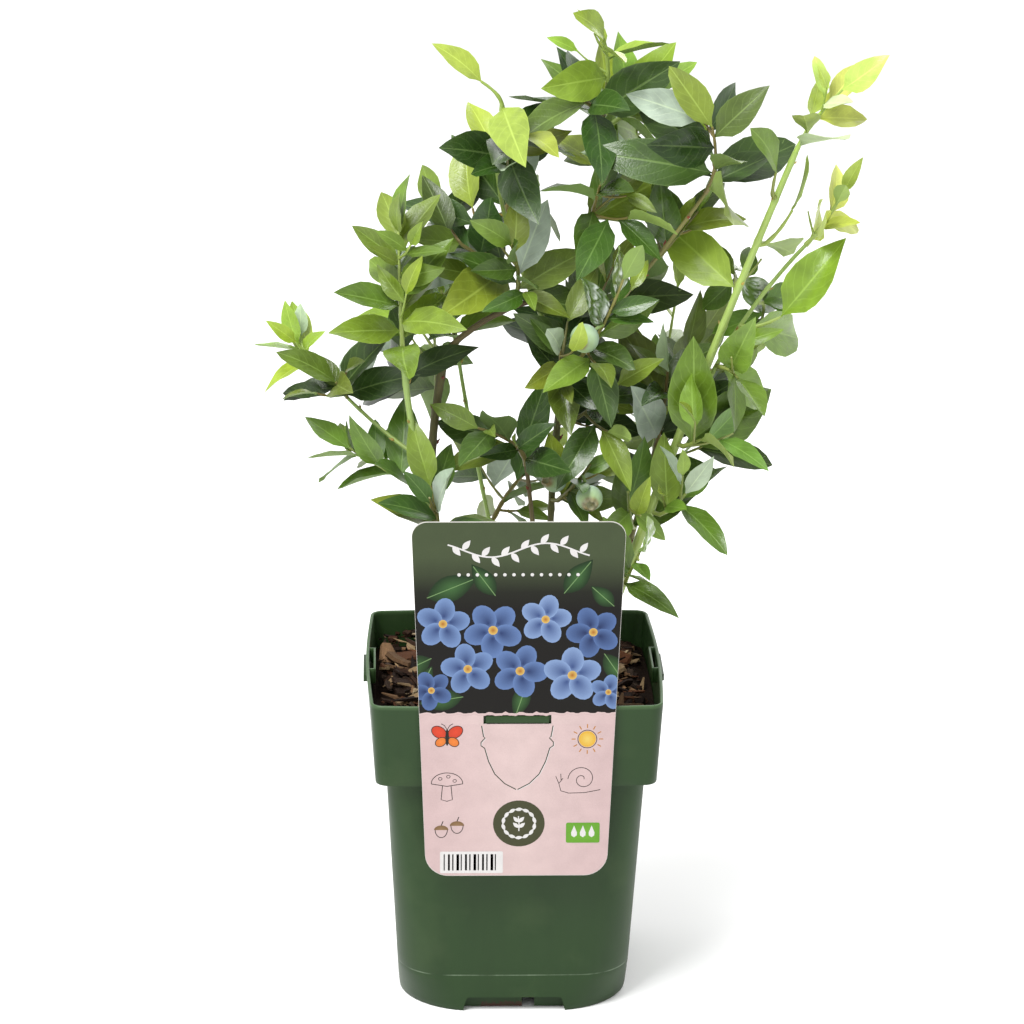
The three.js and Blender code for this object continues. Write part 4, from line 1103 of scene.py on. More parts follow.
# %% [markdown]
# ## What is printed on the card
#
# The print is flat colour with clean edges, so it is made of flat shapes, each a hair in front of the one
# before it, and not of a picture. Each shape is a fan of triangles with a colour at its middle and
# another at its rim. Whatever passes the panel's edge is clipped off, triangle by triangle. The upper
# panel shows blue garden flowers on dark green, the lower one simple line drawings on pale pink. The
# design is a free one, in the usual colours of such labels.

# %% label: printing helpers
LAYER = 0.0006  # millimetres from one printed shape to the next
MARGIN = 0.14  # of bare card round the print, in millimetres
SEAM = 150.2  # where the upper panel ends
INK_DEPTH = 0.54  # ink takes light from the card
art = Pile()
shapes_printed = 0


def leftwards(outline):
    """The outline, with its inside to the left of each side."""
    area = np.sum(outline[:, 0] * np.roll(outline[:, 1], -1) - np.roll(outline[:, 0], -1) * outline[:, 1])
    return outline if area > 0 else outline[::-1]


centre = np.array([0, middle_z])
print_edge = leftwards(centre + (card_rim - centre) * (1 - MARGIN / 45))


def clip(polygon, line_point, line_way):
    """The part of a polygon of (x, z, r, g, b) rows that lies to the left of a line."""
    kept = []
    (x, z), (way_x, way_z) = line_point, line_way
    for here, after in zip(polygon, np.roll(polygon, -1, axis=0)):
        here_side, after_side = (way_x * (p[1] - z) - way_z * (p[0] - x) for p in (here, after))
        if here_side >= 0:
            kept.append(here)
        if (here_side >= 0) != (after_side >= 0):
            kept.append(here + (after - here) * here_side / (here_side - after_side))
    return np.array(kept)


def print_polygon(corners, inks, panel="lower"):
    """Prints a polygon in one ink or in one for each corner, clipped to the card and to its panel."""
    polygon = np.column_stack([corners, np.broadcast_to(inks, (len(corners), 3))])
    borders = list(zip(print_edge, np.roll(print_edge, -1, axis=0) - print_edge))
    if panel == "upper":
        borders.append(((0, SEAM), (1, 0)))
    for point, way in borders:
        if len(polygon) > 2:
            polygon = clip(polygon, point, way)
    if len(polygon) > 2:
        y = np.full(len(polygon), CARD_FRONT - 0.01 - LAYER * shapes_printed)
        points = np.column_stack([polygon[:, 0], y, polygon[:, 1]])
        art.add(points, [range(len(polygon))], polygon[:, 2:])


def ink(hex_code):
    return tone_of(hex_code) * INK_DEPTH


def next_shape():
    global shapes_printed
    shapes_printed += 1


def fan(rim, middle, rim_ink, middle_ink, panel="lower"):
    """A filled shape: triangles from its middle to each piece of its rim."""
    next_shape()
    rim = leftwards(np.asarray(rim, float))
    for a, b in zip(rim, np.roll(rim, -1, axis=0)):
        print_polygon([middle, a, b], [middle_ink, rim_ink, rim_ink], panel)


def drawn(line, width, shade, panel="lower", closed=False):
    """A line drawn with a pen."""
    next_shape()
    line = np.asarray(line, float)
    if closed:
        line = np.vstack([line, line[:2]])
    left, right = ribbon(line, width)
    for i in range(len(line) - 1):
        print_polygon([right[i], right[i + 1], left[i + 1], left[i]], shade, panel)


def spun(points, turn, x, z):
    """Points turned about the origin and then moved to (x, z)."""
    spin = np.array([[math.cos(turn), math.sin(turn)], [-math.sin(turn), math.cos(turn)]])
    return points @ spin + (x, z)


def oval(x, z, wide, high, turn=0.0, count=22, start=0.0, end=2 * math.pi):
    angles = np.linspace(start, end, count, endpoint=abs(end - start) < 6.28)
    return spun(np.column_stack([wide * np.cos(angles), high * np.sin(angles)]), turn, x, z)


def disc(x, z, wide, high, count, rim_ink, middle_ink, panel="lower"):
    fan(oval(x, z, wide, high, 0, count), (x, z), rim_ink, middle_ink, panel)


def print_leaf(x, z, length, width, turn, rim_ink, middle_ink, panel="lower"):
    """A leaf that starts at (x, z). Gives back its middle."""
    along = np.linspace(0, 1, 9)
    edge = np.column_stack([along * length, width / 2 * np.sin(np.pi * along**0.85)])
    middle = spun(np.array([length * 0.5, 0]), turn, x, z)
    fan(spun(np.vstack([edge, (edge * (1, -1))[-2:0:-1]]), turn, x, z), middle, rim_ink, middle_ink, panel)
    return middle


def soft_square(x, z, wide, high, corner, rim_ink, middle_ink):
    """A filled square with round corners."""
    points = []
    for quarter, (sx, sz) in enumerate(((1, 1), (-1, 1), (-1, -1), (1, -1))):
        start = quarter * math.pi / 2
        points += list(oval(x + sx * (wide - corner), z + sz * (high - corner), corner, corner, 0, 6,
                            start, (quarter + 1) * math.pi / 2))
    fan(points, (x, z), rim_ink, middle_ink)


# %% label: the upper panel
NIGHT, MOSS = ink("#15120e"), ink("#4c583b")
WHITE, PEN = ink("#f3f0ee"), ink("#2b2a26")
steps = np.linspace(SEAM, LABEL["top"], 12)
for low_z, high_z in zip(steps, steps[1:]):
    foot, head = (NIGHT + (MOSS - NIGHT) * min(1, max(0, (z - 205) / 16)) for z in (low_z, high_z))
    corners = [(-50, low_z), (50, low_z), (50, high_z), (-50, high_z)]
    print_polygon(corners, [foot, foot, head, head], "upper")
LEAVES_BEHIND = [  # x, z, length, width and turn
    (-40, 204, 24, 12, 0.4), (-38, 176, 22, 11, 3.6), (20, 206, 20, 10, 0.9), (38, 178, 18, 9, 5.3),
    (-24, 158, 20, 10, 3.3), (34, 160, 16, 8, 0.3), (-10, 205, 18, 9, 2.2), (42, 200, 14, 8, 2.4),
    (4, 164, 17, 8, 4.4), (-44, 160, 14, 7, 1.1),
]
for x, z, length, width, turn in LEAVES_BEHIND:
    middle = print_leaf(x, z, length, width, turn, ink("#1c3318"), ink("#46703c"), "upper")
    drawn([(x, z), middle, middle * 1.86 - np.array([x, z]) * 0.86], 0.35, ink("#7fa268"), "upper")
BLOSSOMS = [  # x, z, size and turn
    (-33, 192, 11.5, 0.2), (-11, 189, 12.5, 0.9), (12, 194, 11, 0.1), (33, 188, 11.5, 0.7),
    (-22, 171, 11.5, 0.5), (1, 170, 12, 1.2), (24, 168, 12.5, 0.3), (-38, 161, 9, 0.8), (40, 160, 8, 0.1),
]
BLUES = [("#7f9ccd", "#35497d"), ("#6c89be", "#2c3f70"), ("#90abd8", "#3f558b"), ("#5d79ae", "#273765")]
for number, (x, z, size, turn) in enumerate(BLOSSOMS):
    rim_ink, heart = (ink(blue) for blue in BLUES[number % 4])
    for petal in range(5):
        way = turn + petal * 2 * math.pi / 5
        outer = x + size * 0.55 * math.cos(way), z + size * 0.55 * math.sin(way)
        inner = x + size * 0.3 * math.cos(way), z + size * 0.3 * math.sin(way)
        fan(oval(*outer, size * 0.5, size * 0.4, way, 16), inner, rim_ink, heart, "upper")
    disc(x, z, size * 0.17, size * 0.17, 10, ink("#e9c46a"), ink("#b5702a"), "upper")
sprig = [(t, 226 + 3.2 * math.sin(t * 0.13)) for t in np.linspace(-31, 31, 30)]
drawn(sprig, 0.7, WHITE, "upper")
for k, (x, z) in enumerate(sprig[1:-1:2]):
    print_leaf(x, z, 5.6, 2.7, 0.9 if k % 2 else -0.9, WHITE, WHITE, "upper")
for x in np.linspace(-26, 26, 14):
    fan(oval(x, 213.5 + (1.2 if round(x) % 8 else 0), 0.8, 0.8, 0, 8), (x, 213.5), WHITE, WHITE, "upper")
print("upper panel:", len(art.faces), "flat pieces")

# %% label: the lower panel
PINK, BLUSH = ink("#dfc2c1"), ink("#ead0cd")
steps = [72, 84, 96, 108, 120, 132, WINDOW["bottom"], WINDOW["top"], SEAM]
next_shape()
for low_z, high_z in zip(steps, steps[1:]):
    middle = WINDOW["half"] if low_z == WINDOW["bottom"] else 0  # the slot stays free of ink
    for side in (-1, 1):
        xs = (side * middle, side * 50)
        corners = [(xs[0], low_z), (xs[1], low_z), (xs[1], high_z), (xs[0], high_z)]
        print_polygon(corners[::side], [BLUSH, PINK, PINK, BLUSH])
next_shape()  # the torn edge between the panels
xs = np.linspace(-44.5, 44.5, 60)
torn = list(zip(xs, SEAM + 0.4 * np.sin(xs * 0.9) + 0.25 * np.sin(xs * 2.3 + 1)))
for (xa, za), (xb, zb) in zip(torn, torn[1:]):
    corners = [(xa, za - 0.9), (xb, zb - 0.9), (xb, zb + 0.25), (xa, za + 0.25)]
    print_polygon(corners, [PINK, PINK, BLUSH, BLUSH])
# The tongue's cut, printed over: a dark line as painted shade in the gap, and beside it a pale line, the
# card's white cut edge with a painted highlight.
for cut_line in CUT_LINES:
    drawn([(x + 0.3, z - 0.25) for x, z in cut_line], 0.25, WHITE)
    drawn(cut_line, CUT_WIDTH, ink("#3a4433"))
# A sun and a snail on the right.
drawn(oval(31, 138, 4.2, 4.2, 0, 26), 0.35, PEN, closed=True)
disc(31, 138, 3.8, 3.8, 20, ink("#efb93f"), ink("#f6d873"))
for k in range(12):
    way = k * math.pi / 6
    ray = [(31 + r * math.cos(way), 138 + r * math.sin(way)) for r in (5.2, 6.1, 7.0)]
    drawn(ray, 0.45, ink("#c9852b"))
t = np.linspace(0, 9.4, 44)
shell = np.column_stack([29 + (0.6 + t * 0.62) * np.cos(t), 119 + (0.6 + t * 0.62) * np.sin(t)])
drawn(shell, 0.32, PEN)
drawn([(37, 114), (30, 112.6), (23, 112.4), (19.5, 113.5), (18.6, 117), (20.4, 119.5)], 0.32, PEN)
drawn([(18.6, 117), (17.2, 120.4)], 0.3, PEN)
drawn([(19.6, 118.6), (19.4, 121.6)], 0.3, PEN)
# A mushroom, a butterfly and a pair of acorns on the left.
drawn(oval(-31, 117, 7, 5.2, 0, 20, 0, math.pi), 0.34, PEN)
drawn([(-38, 117), (-31, 115.8), (-24, 117)], 0.34, PEN)
drawn([(-33, 116), (-33.6, 109.5), (-31, 108.7), (-28.6, 109.5), (-29.2, 116)], 0.34, PEN)
for x, z in ((-34, 119.4), (-30.4, 120.4), (-27.6, 118.4)):
    drawn(oval(x, z, 0.8, 0.7, 0, 10), 0.28, PEN, closed=True)
WINGS = ((3.6, 2.4, 3.6, 2.6, 0.6, "#d9492f"), (2.8, -2.2, 2.6, 2.0, -0.6, "#e8823a"))
for side in (-1, 1):
    for x, z, wide, high, turn, shade in WINGS:
        wing = oval(-31 + side * x, 139 + z, wide, high, side * turn, 18)
        fan(wing, (-31 + side * x, 139 + z), ink(shade), ink(shade) * 1.25)
        drawn(wing, 0.34, PEN, closed=True)
    drawn([(-31, 142.5), (-31 + side * 1.2, 144.6), (-31 + side * 2.6, 145.4)], 0.3, PEN)
disc(-31, 139, 0.8, 4, 14, PEN, PEN)
for x, z in ((-33.5, 95), (-26.5, 97)):
    drawn(oval(x, z, 2.7, 3.6, 0, 20, math.pi, 2 * math.pi), 0.34, PEN)
    fan(oval(x, z, 3.2, 2.2, 0, 18, 0, math.pi), (x, z), ink("#8a6b4a"), ink("#a5845d"))
    drawn([(x, z + 2.2), (x + 0.8, z + 4.2)], 0.4, PEN)
# A round stamp with a sprout in the middle, a tile with drops, and plain bars.
OLIVE = ink("#4c4d33")
disc(1, 98, 11.5, 11, 34, OLIVE, OLIVE * 1.1)
for k in range(14):
    way = k * 2 * math.pi / 14
    print_leaf(1 + 7.4 * math.cos(way), 98 + 7.1 * math.sin(way), 3.6, 1.6, way + 1.9, WHITE, WHITE)
drawn([(1, 94.4), (1.1, 97.5), (0.8, 101.5)], 0.5, WHITE)
for x, z, turn in ((1, 96, 0.7), (1, 96, 2.4), (0.9, 98.6, 0.8), (0.9, 98.6, 2.3)):
    print_leaf(x, z, 3.6, 1.7, turn, WHITE, WHITE)
soft_square(29.5, 93.5, 7.5, 4.8, 0.8, ink("#6fae35"), ink("#7dbb3f"))
for x in (25.6, 29.5, 33.4):
    drop = [(x, 97), (x + 1.3, 93.6), (x + 1.2, 92.2), (x, 91.3), (x - 1.2, 92.2), (x - 1.3, 93.6)]
    fan(drop, (x, 93), WHITE, WHITE)
soft_square(-20, 79.5, 14, 5.2, 0.6, WHITE, WHITE)
for k, x in enumerate(np.arange(-32.4, -8, 1.9)):
    width = (0.5, 0.9, 0.6, 1.2)[k % 4]
    print_polygon([(x, 75.6), (x + width, 75.6), (x + width, 83.4), (x, 83.4)], PEN)
print("whole print:", len(art.faces), "flat pieces")

# %% [markdown]
# ## Finish of the label
#
# Both the white card and the ink are under one clear varnish, so they share a soft gloss. Ink on card is
# never wholly even: a very fine grain breaks the colour, and a larger, fainter one is the card's own.

# %% label materials


def varnished(name, printed):
    material, shader, add = new_material(name)
    where = add("TexCoord", out=3)
    speck = add("TexNoise", [where], Scale=3800.0, Detail=2.0)
    cloud = add("TexNoise", [where], Scale=120.0, Detail=4.0)
    even = add("Math", [speck, cloud], operation="ADD")
    lit = add("MapRange", [even, 0.7, 1.3, 0.93, 1.06])
    own = add("Attribute", attribute_name="ink") if printed else "#b7b4ae"
    tinted = add("VectorMath", {0: own, "Scale": lit}, operation="SCALE")
    shine = add("MapRange", [cloud, 0.3, 0.7, 0.3, 0.4])
    fill(shader, {"Base Color": tinted, "Roughness": shine, "Specular IOR Level": 0.16})
    return material


card.data.materials.append(varnished("Coated_white_card", printed=False))
finish_piece(card, 30, "plant_label", "plant_label")
label_print = art.made("label_print", varnished("Varnished_print", printed=True), "ink")
finish_piece(label_print, 0, "plant_label", "plant_label")

# %% [markdown]
# ## Canes and boughs
#
# The limbs are tubes swept along their curves. Old wood is grey-brown, ribbed, and swollen where side
# shoots once left it. This year's canes are smooth, faintly angular and green, and browner at the foot.
# A curve object with a round bevel would be quicker to make, but its surface would be a plain pipe. So
# the tube's rings are worked out one by one, and each ring's radius gets ribs, knuckles and small warts.
# Pointed buds sit at the knuckles, on alternate sides.

# %% limbs: swept tubes with relief
RING_SIDES = 20
RING_STEP = 1.6  # millimetres between two rings of a cane
# The bark lies inside the solid of the CAD part: shares of its radius at the foot and at the tip.
SLIM = {"cane_left_green": (0.5, 0.88), "cane_old_brown": (0.5, 0.88), "cane_centre": (0.5, 0.88),
        "bough_upper_right": (0.56, 0.66), "cane_inner_right": (0.66, 0.8)}
SLIM_OTHERS = (0.72, 0.88)
FLARE = {"reach": 0.03, "by": 0.12}  # at the foot of a limb, in shares of its length and radius
KNUCKLE = {"first": 12, "last": 4, "reach": 1.5, "by": 0.16}  # first and last: from the foot, from the tip
# For old wood and for young shoots: the foot's colour and how far it shows, depth of ribs and warts, the
# distance from bud to bud, their colour and size, and the finish.
OLD = {"woody": "#5a5a2c", "share": 0.8, "ribs": 0.026, "warts": 0.02, "gap": 17, "bud": "#7a3526",
       "bud_size": 1.5, "slot": "brown_wood"}
YOUNG = {"woody": "#7d7f3c", "share": 0.4, "ribs": 0.014, "warts": 0.008, "gap": 23, "bud": "#93803c",
         "bud_size": 1.25, "slot": "green_shoot"}


def sweep(limb, sides, steps, swell):
    """Points and faces of a tube. `swell` gives the radii of one ring from its place and its angles."""
    curve = limb["curve"]
    side = unit(np.cross(curve_tangent(curve, 0), [0.0, 1.0, 0.3]))
    turns = np.arange(sides) / sides * 2 * np.pi
    rings, faces = [], [range(sides)[::-1]]
    for i in range(steps + 1):
        t = i / steps
        centre, tangent = curve_point(curve, t), curve_tangent(curve, t)
        if i == 0:
            centre = limb.get("joint", centre)  # a branch is rooted in the middle of its carrier
        side = unit(side - tangent * (side @ tangent))
        other = np.cross(tangent, side)
        radii = swell(t, turns)
        ring = centre + np.outer(np.cos(turns) * radii, side) + np.outer(np.sin(turns) * radii, other)
        rings.append(ring)
        for s in range(sides if i else 0):
            a, b = (i - 1) * sides + s, (i - 1) * sides + (s + 1) % sides
            faces.append((a, b, b + sides, a + sides))
    faces.append(range(steps * sides, (steps + 1) * sides))
    return np.vstack(rings), faces


def tube_map(faces, sides, length, steps, radius):
    """For each corner: millimetres along the limb and round it."""
    rows = []
    for face in faces:
        columns = [k % sides for k in face]
        wraps = len(face) == 4 and max(columns) - min(columns) > 1
        for k, column in zip(face, columns):
            around = sides if wraps and column == 0 else column
            rows.append((k // sides / steps * length, around / sides * 2 * math.pi * radius))
    return rows


def slim(limb, t):
    """The radius of a limb's bark at t, without relief."""
    return lerp(*limb["radii"], t) * lerp(*SLIM.get(limb["name"], SLIM_OTHERS), t**1.6)


def relief_of(limb, looks, chance):
    """The radii of a ring: taper, ribs, knuckles and warts."""
    ribs = [(chance.integers(2, 9), chance.uniform(0, 6.3), chance.uniform(-5, 5)) for _ in range(4)]
    length = span(limb["curve"])
    limb["knuckles"] = np.arange(KNUCKLE["first"], length - KNUCKLE["last"], looks["gap"]) / length

    def swell(t, turns):
        radius = slim(limb, t)
        if t < FLARE["reach"]:
            radius *= 1 + FLARE["by"] * (1 - t / FLARE["reach"])
        shape = sum(np.sin(n * turns + p + w * t * 6) for n, p, w in ribs) * looks["ribs"]
        knuckle = sum(math.exp(-(((t - k) * length / KNUCKLE["reach"]) ** 2)) for k in limb["knuckles"])
        warts = chance.normal(0, looks["warts"], len(turns))
        return radius * (1 + shape + KNUCKLE["by"] * knuckle + warts)

    return swell


# %% limbs: one bud, modelled once
model = start_with(bpy.ops.mesh.primitive_uv_sphere_add, segments=8, ring_count=6, radius=1)
edit_all()
resize(0.42, 0.5, 1.0)
select_points(model, lambda co: co.z > 0.45)
resize(0.5, 0.5, 1.15, centre=(0, 0, 0.45))
close_edit()
bud_points, bud_faces = taken_apart(model)
print("one bud:", len(bud_faces), "faces")


def turned(points, way, near):
    """Points whose +Z is turned to `way`, and whose +X lies towards `near`."""
    aside = unit(near - way * (near @ way))
    return points @ np.array([aside, np.cross(way, aside), way])


# %% [markdown]
# ## Finish of the wood
#
# The colour of each limb goes from a woodier foot to its own colour at the tip, and is stored on the
# points. Over it, fine fibres run along the limb: the noise reads the limb's own map, in millimetres
# along and round it, squeezed along the length. Old bark is matt and olive under red-brown streaks, and
# young bark is waxy.

# %% limb materials


def rind_material(name, stretch, dark, light, roughness, strength, streaks):
    material, shader, add = new_material(name)
    own = add("Attribute", attribute_name="rind")
    along = add("Mapping", [add("UVMap", uv_map="rind_map")], Scale=stretch)
    fibres = add("TexNoise", [along], Scale=1.0, Detail=5.0, Roughness=0.62)
    lit = add("MapRange", [fibres, 0.3, 0.7, dark, light])
    colour = add("VectorMath", {0: own, "Scale": lit}, operation="SCALE")
    worn = add("MapRange", [fibres, 0.5, 0.68, 0.0, streaks])
    streaked = add("Mix", {0: worn, 6: colour, 7: "#4b2f1d"}, **COLOUR_MIX)
    relief = add("Bump", {"Height": fibres}, Strength=strength, Distance=0.0003)
    fill(shader, {"Base Color": streaked, "Roughness": roughness, "Normal": relief})
    return material


old_bark = rind_material("Split_grey_brown_bark", (0.28, 1.9, 1.0), 0.62, 1.3, 0.7, 0.6, 0.75)
branch_bark = rind_material("Olive_branch_bark", (0.2, 1.5, 1.0), 0.74, 1.2, 0.6, 0.4, 0.3)
young_rind = rind_material("Waxy_green_rind", (0.12, 1.1, 1.0), 0.84, 1.16, 0.42, 0.25, 0.0)

# %% limbs: build them
GREEN_SHOOTS = ["cane_left_green", "cane_thin_green", "cane_right_green", "bough_right_thin",
                "bough_left_reach", "bough_upper_left"]
BRANCHES = ["bough_upper_right", "cane_inner_right"]
for number, limb in enumerate(limbs.values()):
    chance = np.random.default_rng(300 + number)
    looks = YOUNG if limb["name"] in GREEN_SHOOTS else OLD
    length = span(limb["curve"])
    steps = math.ceil(length / RING_STEP)
    points, faces = sweep(limb, RING_SIDES, steps, relief_of(limb, looks, chance))
    points[:, 2] = np.maximum(points[:, 2], MIX_TOP + GAP)
    rows = tube_map(faces, RING_SIDES, length, steps, limb["radii"][0])
    share = np.repeat(np.linspace(looks["share"], 0.0, steps + 1) ** 1.3, RING_SIDES)[:, None]
    wood = Pile()
    wood.add(points, faces, tone_of(limb["colour"]) * (1 - share) + tone_of(looks["woody"]) * share)
    for k, t in enumerate(limb["knuckles"]):
        way = curve_tangent(limb["curve"], t)
        out = around_shoot(way, k * TURN)
        size = looks["bud_size"] * chance.uniform(0.8, 1.25)
        heading = unit(out * 0.75 + way)
        place = curve_point(limb["curve"], t) + out * slim(limb, t) * 0.95 + heading * size * 0.5
        rows += [(0.5 * wood.count + i, i % 3) for face in bud_faces for i in face]
        bud_tone = tone_of(looks["bud"]) * chance.uniform(0.8, 1.3)
        wood.add(turned(bud_points * size, heading, out) + place, bud_faces, bud_tone)
    rind = young_rind if looks is YOUNG else branch_bark if limb["name"] in BRANCHES else old_bark
    piece = wood.made(limb["name"].replace("_", "_wood_", 1), rind, "rind")
    store_map(piece, "rind_map", rows)
    finish_piece(piece, 50, looks["slot"], limb["name"])

# %% [markdown]
# ## Finer twigs within the same reach
#
# The CAD part carries the large leaves that give the bush its outline. A real spray also has short side
# twigs with small leaves between them. The same rule grows them here, in the room that is left: each new
# twig or leaf stays inside the box of its own mass, so the crown keeps its outline and its gaps. The finer
# growth has seeds of its own.

# %% grow the finer twigs
FINE = {"twigs": 2, "twig_share": 0.4, "leaves": 3, "radii": (0.75, 0.45), "twig_seeds": 200,
        "leaf_share": 0.66, "leaf_slots": 220,  # the leaves of the new twigs
        "gap_share": 0.74, "gap_slots": 260}  # and those between the large leaves of the stem
FINE_SEEDS = [  # one for each mass, in the order of the table
    29, 0, 0, 164, 0, 37, 29, 200, 56, 79, 145, 161, 0, 57, 234, 117, 218, 165, 81, 212, 4, 8, 164,
    222, 215, 108, 66, 170, 199, 52, 2, 109, 236, 215, 191, 131, 210, 7, 208, 70, 52, 2398,
]
coarse_count = len(crowd.blades)


def keeper_of(mass):
    """A test whether a new leaf or twig stays in the box of the mass's own CAD node."""
    low, high = (np.array(corner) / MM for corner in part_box("foliage_" + mass["name"]))

    def keeps(grown):
        points = grown["samples"] if "samples" in grown else grown["marks"]
        return (points > low).all() and (points < high).all()

    return keeps


for mass, seed in zip(masses, FINE_SEEDS):
    if mass["leaves"] < 3:
        continue
    keeps, stem, full = keeper_of(mass), mass["stem"], mass["leaf_length"]
    small = dict(mass, seed=seed, leaf_length=full * FINE["leaf_share"])
    for i in range(FINE["twigs"]):
        dice = seeded_dice(seed * SEED_STEP + FINE["twig_seeds"] + i)
        at = lerp(0.15, 0.9, (i + dice()) / FINE["twigs"])
        twig = grow_twig(mass, stem, at, dice, FINE["twig_share"], crowd, keeps)
        if not twig:
            continue
        twig["radii"] = FINE["radii"]
        for k in reversed(range(FINE["leaves"])):
            at = lerp(0.4, 1, k / (FINE["leaves"] - 1))
            grow_blade(small, twig, at, FINE["leaf_slots"] + 5 * i + k, crowd, keeps)
    between = dict(small, leaf_length=full * FINE["gap_share"])
    for k in range(mass["leaves"] - 1):
        at = lerp(0.12, 1, (k + 0.5) / (mass["leaves"] - 1))
        grow_blade(between, stem, at, FINE["gap_slots"] + k, crowd, keeps)
print(len(crowd.blades) - coarse_count, "smaller leaves,", sum(len(m["shoots"]) for m in masses), "shoots")

# %% [markdown]
# ## One leaf
#
# A blueberry leaf is a thin leathery ellipse with a point, on a very short stalk. Its two halves rise
# from the midrib like an open book. It could be a flat plane with a cut-out picture, but a real outline
# costs little: a grid of 9 by 4 for the face and one of 9 by 2 for the underside, joined along the rim.
# That is 54 faces, modelled once. The flat model's points then tell, for each copy, how far along and
# how far across the blade they are, and every copy is bent on its own.

# %% model the flat leaf


def flat_blade(long_steps, across, across_below):
    """A flat blade of two skins that are joined along the rim, with u and v of each point."""
    sheet = start_with(bpy.ops.mesh.primitive_grid_add, x_subdivisions=long_steps, y_subdivisions=across,
                       size=2)
    bpy.ops.object.mode_set(mode="EDIT")
    bpy.ops.mesh.select_all(action="DESELECT")
    bpy.ops.mesh.primitive_grid_add(x_subdivisions=long_steps, y_subdivisions=across_below, size=2,
                                    location=(0, 0, -1))
    bpy.ops.mesh.flip_normals()
    select_points(sheet, lambda co: co.z < -0.5 and (abs(co.y) > 0.99 or abs(co.x) > 0.99))
    bpy.ops.transform.translate(value=(0, 0, 1))
    for end in (-1, 1):
        select_points(sheet, lambda co: co.x * end > 0.99)
        resize(1, 0, 1)
    bpy.ops.mesh.select_all(action="SELECT")
    bpy.ops.mesh.remove_doubles(threshold=0.001)
    close_edit()
    points, faces = taken_apart(sheet)
    inner = points[:, 2] < -0.5  # points that only the underside has
    below = np.array([any(inner[i] for i in face) for face in faces])
    return {"u": (points[:, 0] + 1) / 2, "v": points[:, 1], "inner": inner, "faces": faces, "below": below}


LEAF_ROWS = np.array([0, 0.05, 0.13, 0.24, 0.37, 0.51, 0.65, 0.78, 0.9, 1])
plain_blade = flat_blade(9, 4, 2)
plain_blade["u"] = LEAF_ROWS[np.round(plain_blade["u"] * 9).astype(int)]
print("one leaf:", len(plain_blade["faces"]), "faces,", plain_blade["below"].sum(), "of them below")

# %% [markdown]
# ## Bending each leaf
#
# The width follows the leaf's own outline: a short narrow stalk, widest a little below the middle, and a
# drawn-out point. On top of the fold and the curl of the rule, each blade opens more or less, arches or
# rolls back at its tip, sweeps a little sideways, twists, and its margin waves. Colour is plain: one
# colour a spray, and each leaf a little older or younger than the next, lightest at the tip of a shoot.
# A few leaves of one age are mixed towards a pale silvery grey-green: a painted sheen, as of the white sky
# mirrored in a glossy leaf.

# %% leaf shape and colour
# Masses whose leaves differ from their tone: shares of red, green and blue.
SHADED = {"left_cane_top": (0.6, 0.7, 0.46), "left_tip": (0.72, 0.8, 0.6), "left_low": (0.78, 0.85, 0.7),
          "right_folded": (0.5, 0.62, 0.4), "top_tip": (0.8, 0.9, 0.65), "top_lime": (0.66, 0.82, 0.5),
          "right_cane_top": (1.5, 1.36, 1.9), "right_shoot_top": (1.4, 1.28, 1.7)}
LEAF_TONES = {"dark": "#2c4417", "deep": "#3b561b", "mid": "#557424", "lime": "#90a640", "pale": "#768a39"}
# The second colour is a painted sheen, the pale grey-green of the sky mirrored in a glossy leaf.
YOUNG_LEAF, PAINTED_SHEEN_TONE = tone_of("#9db03c"), tone_of("#b4c3b3")
PAINTED_SHEEN = {"from": 0.3, "to": 0.37, "share": 0.6}  # the ages at which a leaf gets a painted sheen, and how much
CURLED = {"share": 0.16, "by": 0.2}  # some leaves hang in a strong arch
STALK = 0.55  # half width of a leaf stalk, in millimetres


def leaf_outline(u):
    """Half width of the blade at u, of its widest, without the stalk."""
    base = np.clip((u - 0.04) / 0.2, 0, 1) ** 0.6
    return blade_width(u) ** 0.92 * base


def puckers(flat, phase):
    """Wandering folds of a blistered leaf, from 0 in a hollow to 1 on a fold."""
    u, v = flat["u"], flat["v"]
    wander = 2.1 * np.pi * v + 1.9 * np.sin(6 * u + phase) + 1.3 * np.sin(8 * v - 11 * u + 2 * phase)
    breaks = 0.68 + 0.32 * np.sin(17 * u + 3 * phase + 5 * v)
    return np.abs(np.sin(wander)) * breaks * np.clip(u * 6, 0, 1) * (1 - u**6)


def bent_leaf(blade, dice, flat, blister):
    """The points of one leaf in the bush, in millimetres."""
    length, half = blade["length"], blade["half"] * 0.97
    u, v = flat["u"], flat["v"]
    outline, aside = half * leaf_outline(u), np.abs(v)
    wide = np.maximum(outline, np.where(u > 0.95, 0, STALK))
    fold = LEAF["fold"] * (0.5 + 1.9 * dice())
    curl = LEAF["curl"] + 0.17 * (dice() - 0.35) + (CURLED["by"] if dice() < CURLED["share"] else 0)
    lift = fold * (1.3 * aside - 0.3 * aside**2) * outline - curl * length * u**2
    phase, waves = dice() * 2 * np.pi, 1.8 + 1.8 * dice()
    wave = np.sin(u * waves * 2 * np.pi + phase + 1.3 * np.sign(v))
    lift += 0.011 * length * wave * aside * np.clip(u * 6, 0, 1)
    lift += (dice() - 0.5) * 0.8 * u * v * half
    sweep_aside = (dice() - 0.5) * 0.12 * length * u**2
    thickness = np.where(u < 0.1, 0.9, 0.25 + 0.009 * length)
    lift += blister * length * puckers(flat, length) - np.where(flat["inner"], thickness, 0)
    return (
        blade["root"]
        + np.outer(u * length, blade["along"])
        + np.outer(v * wide + sweep_aside, blade["across"])
        + np.outer(lift, blade["facing"])
    )


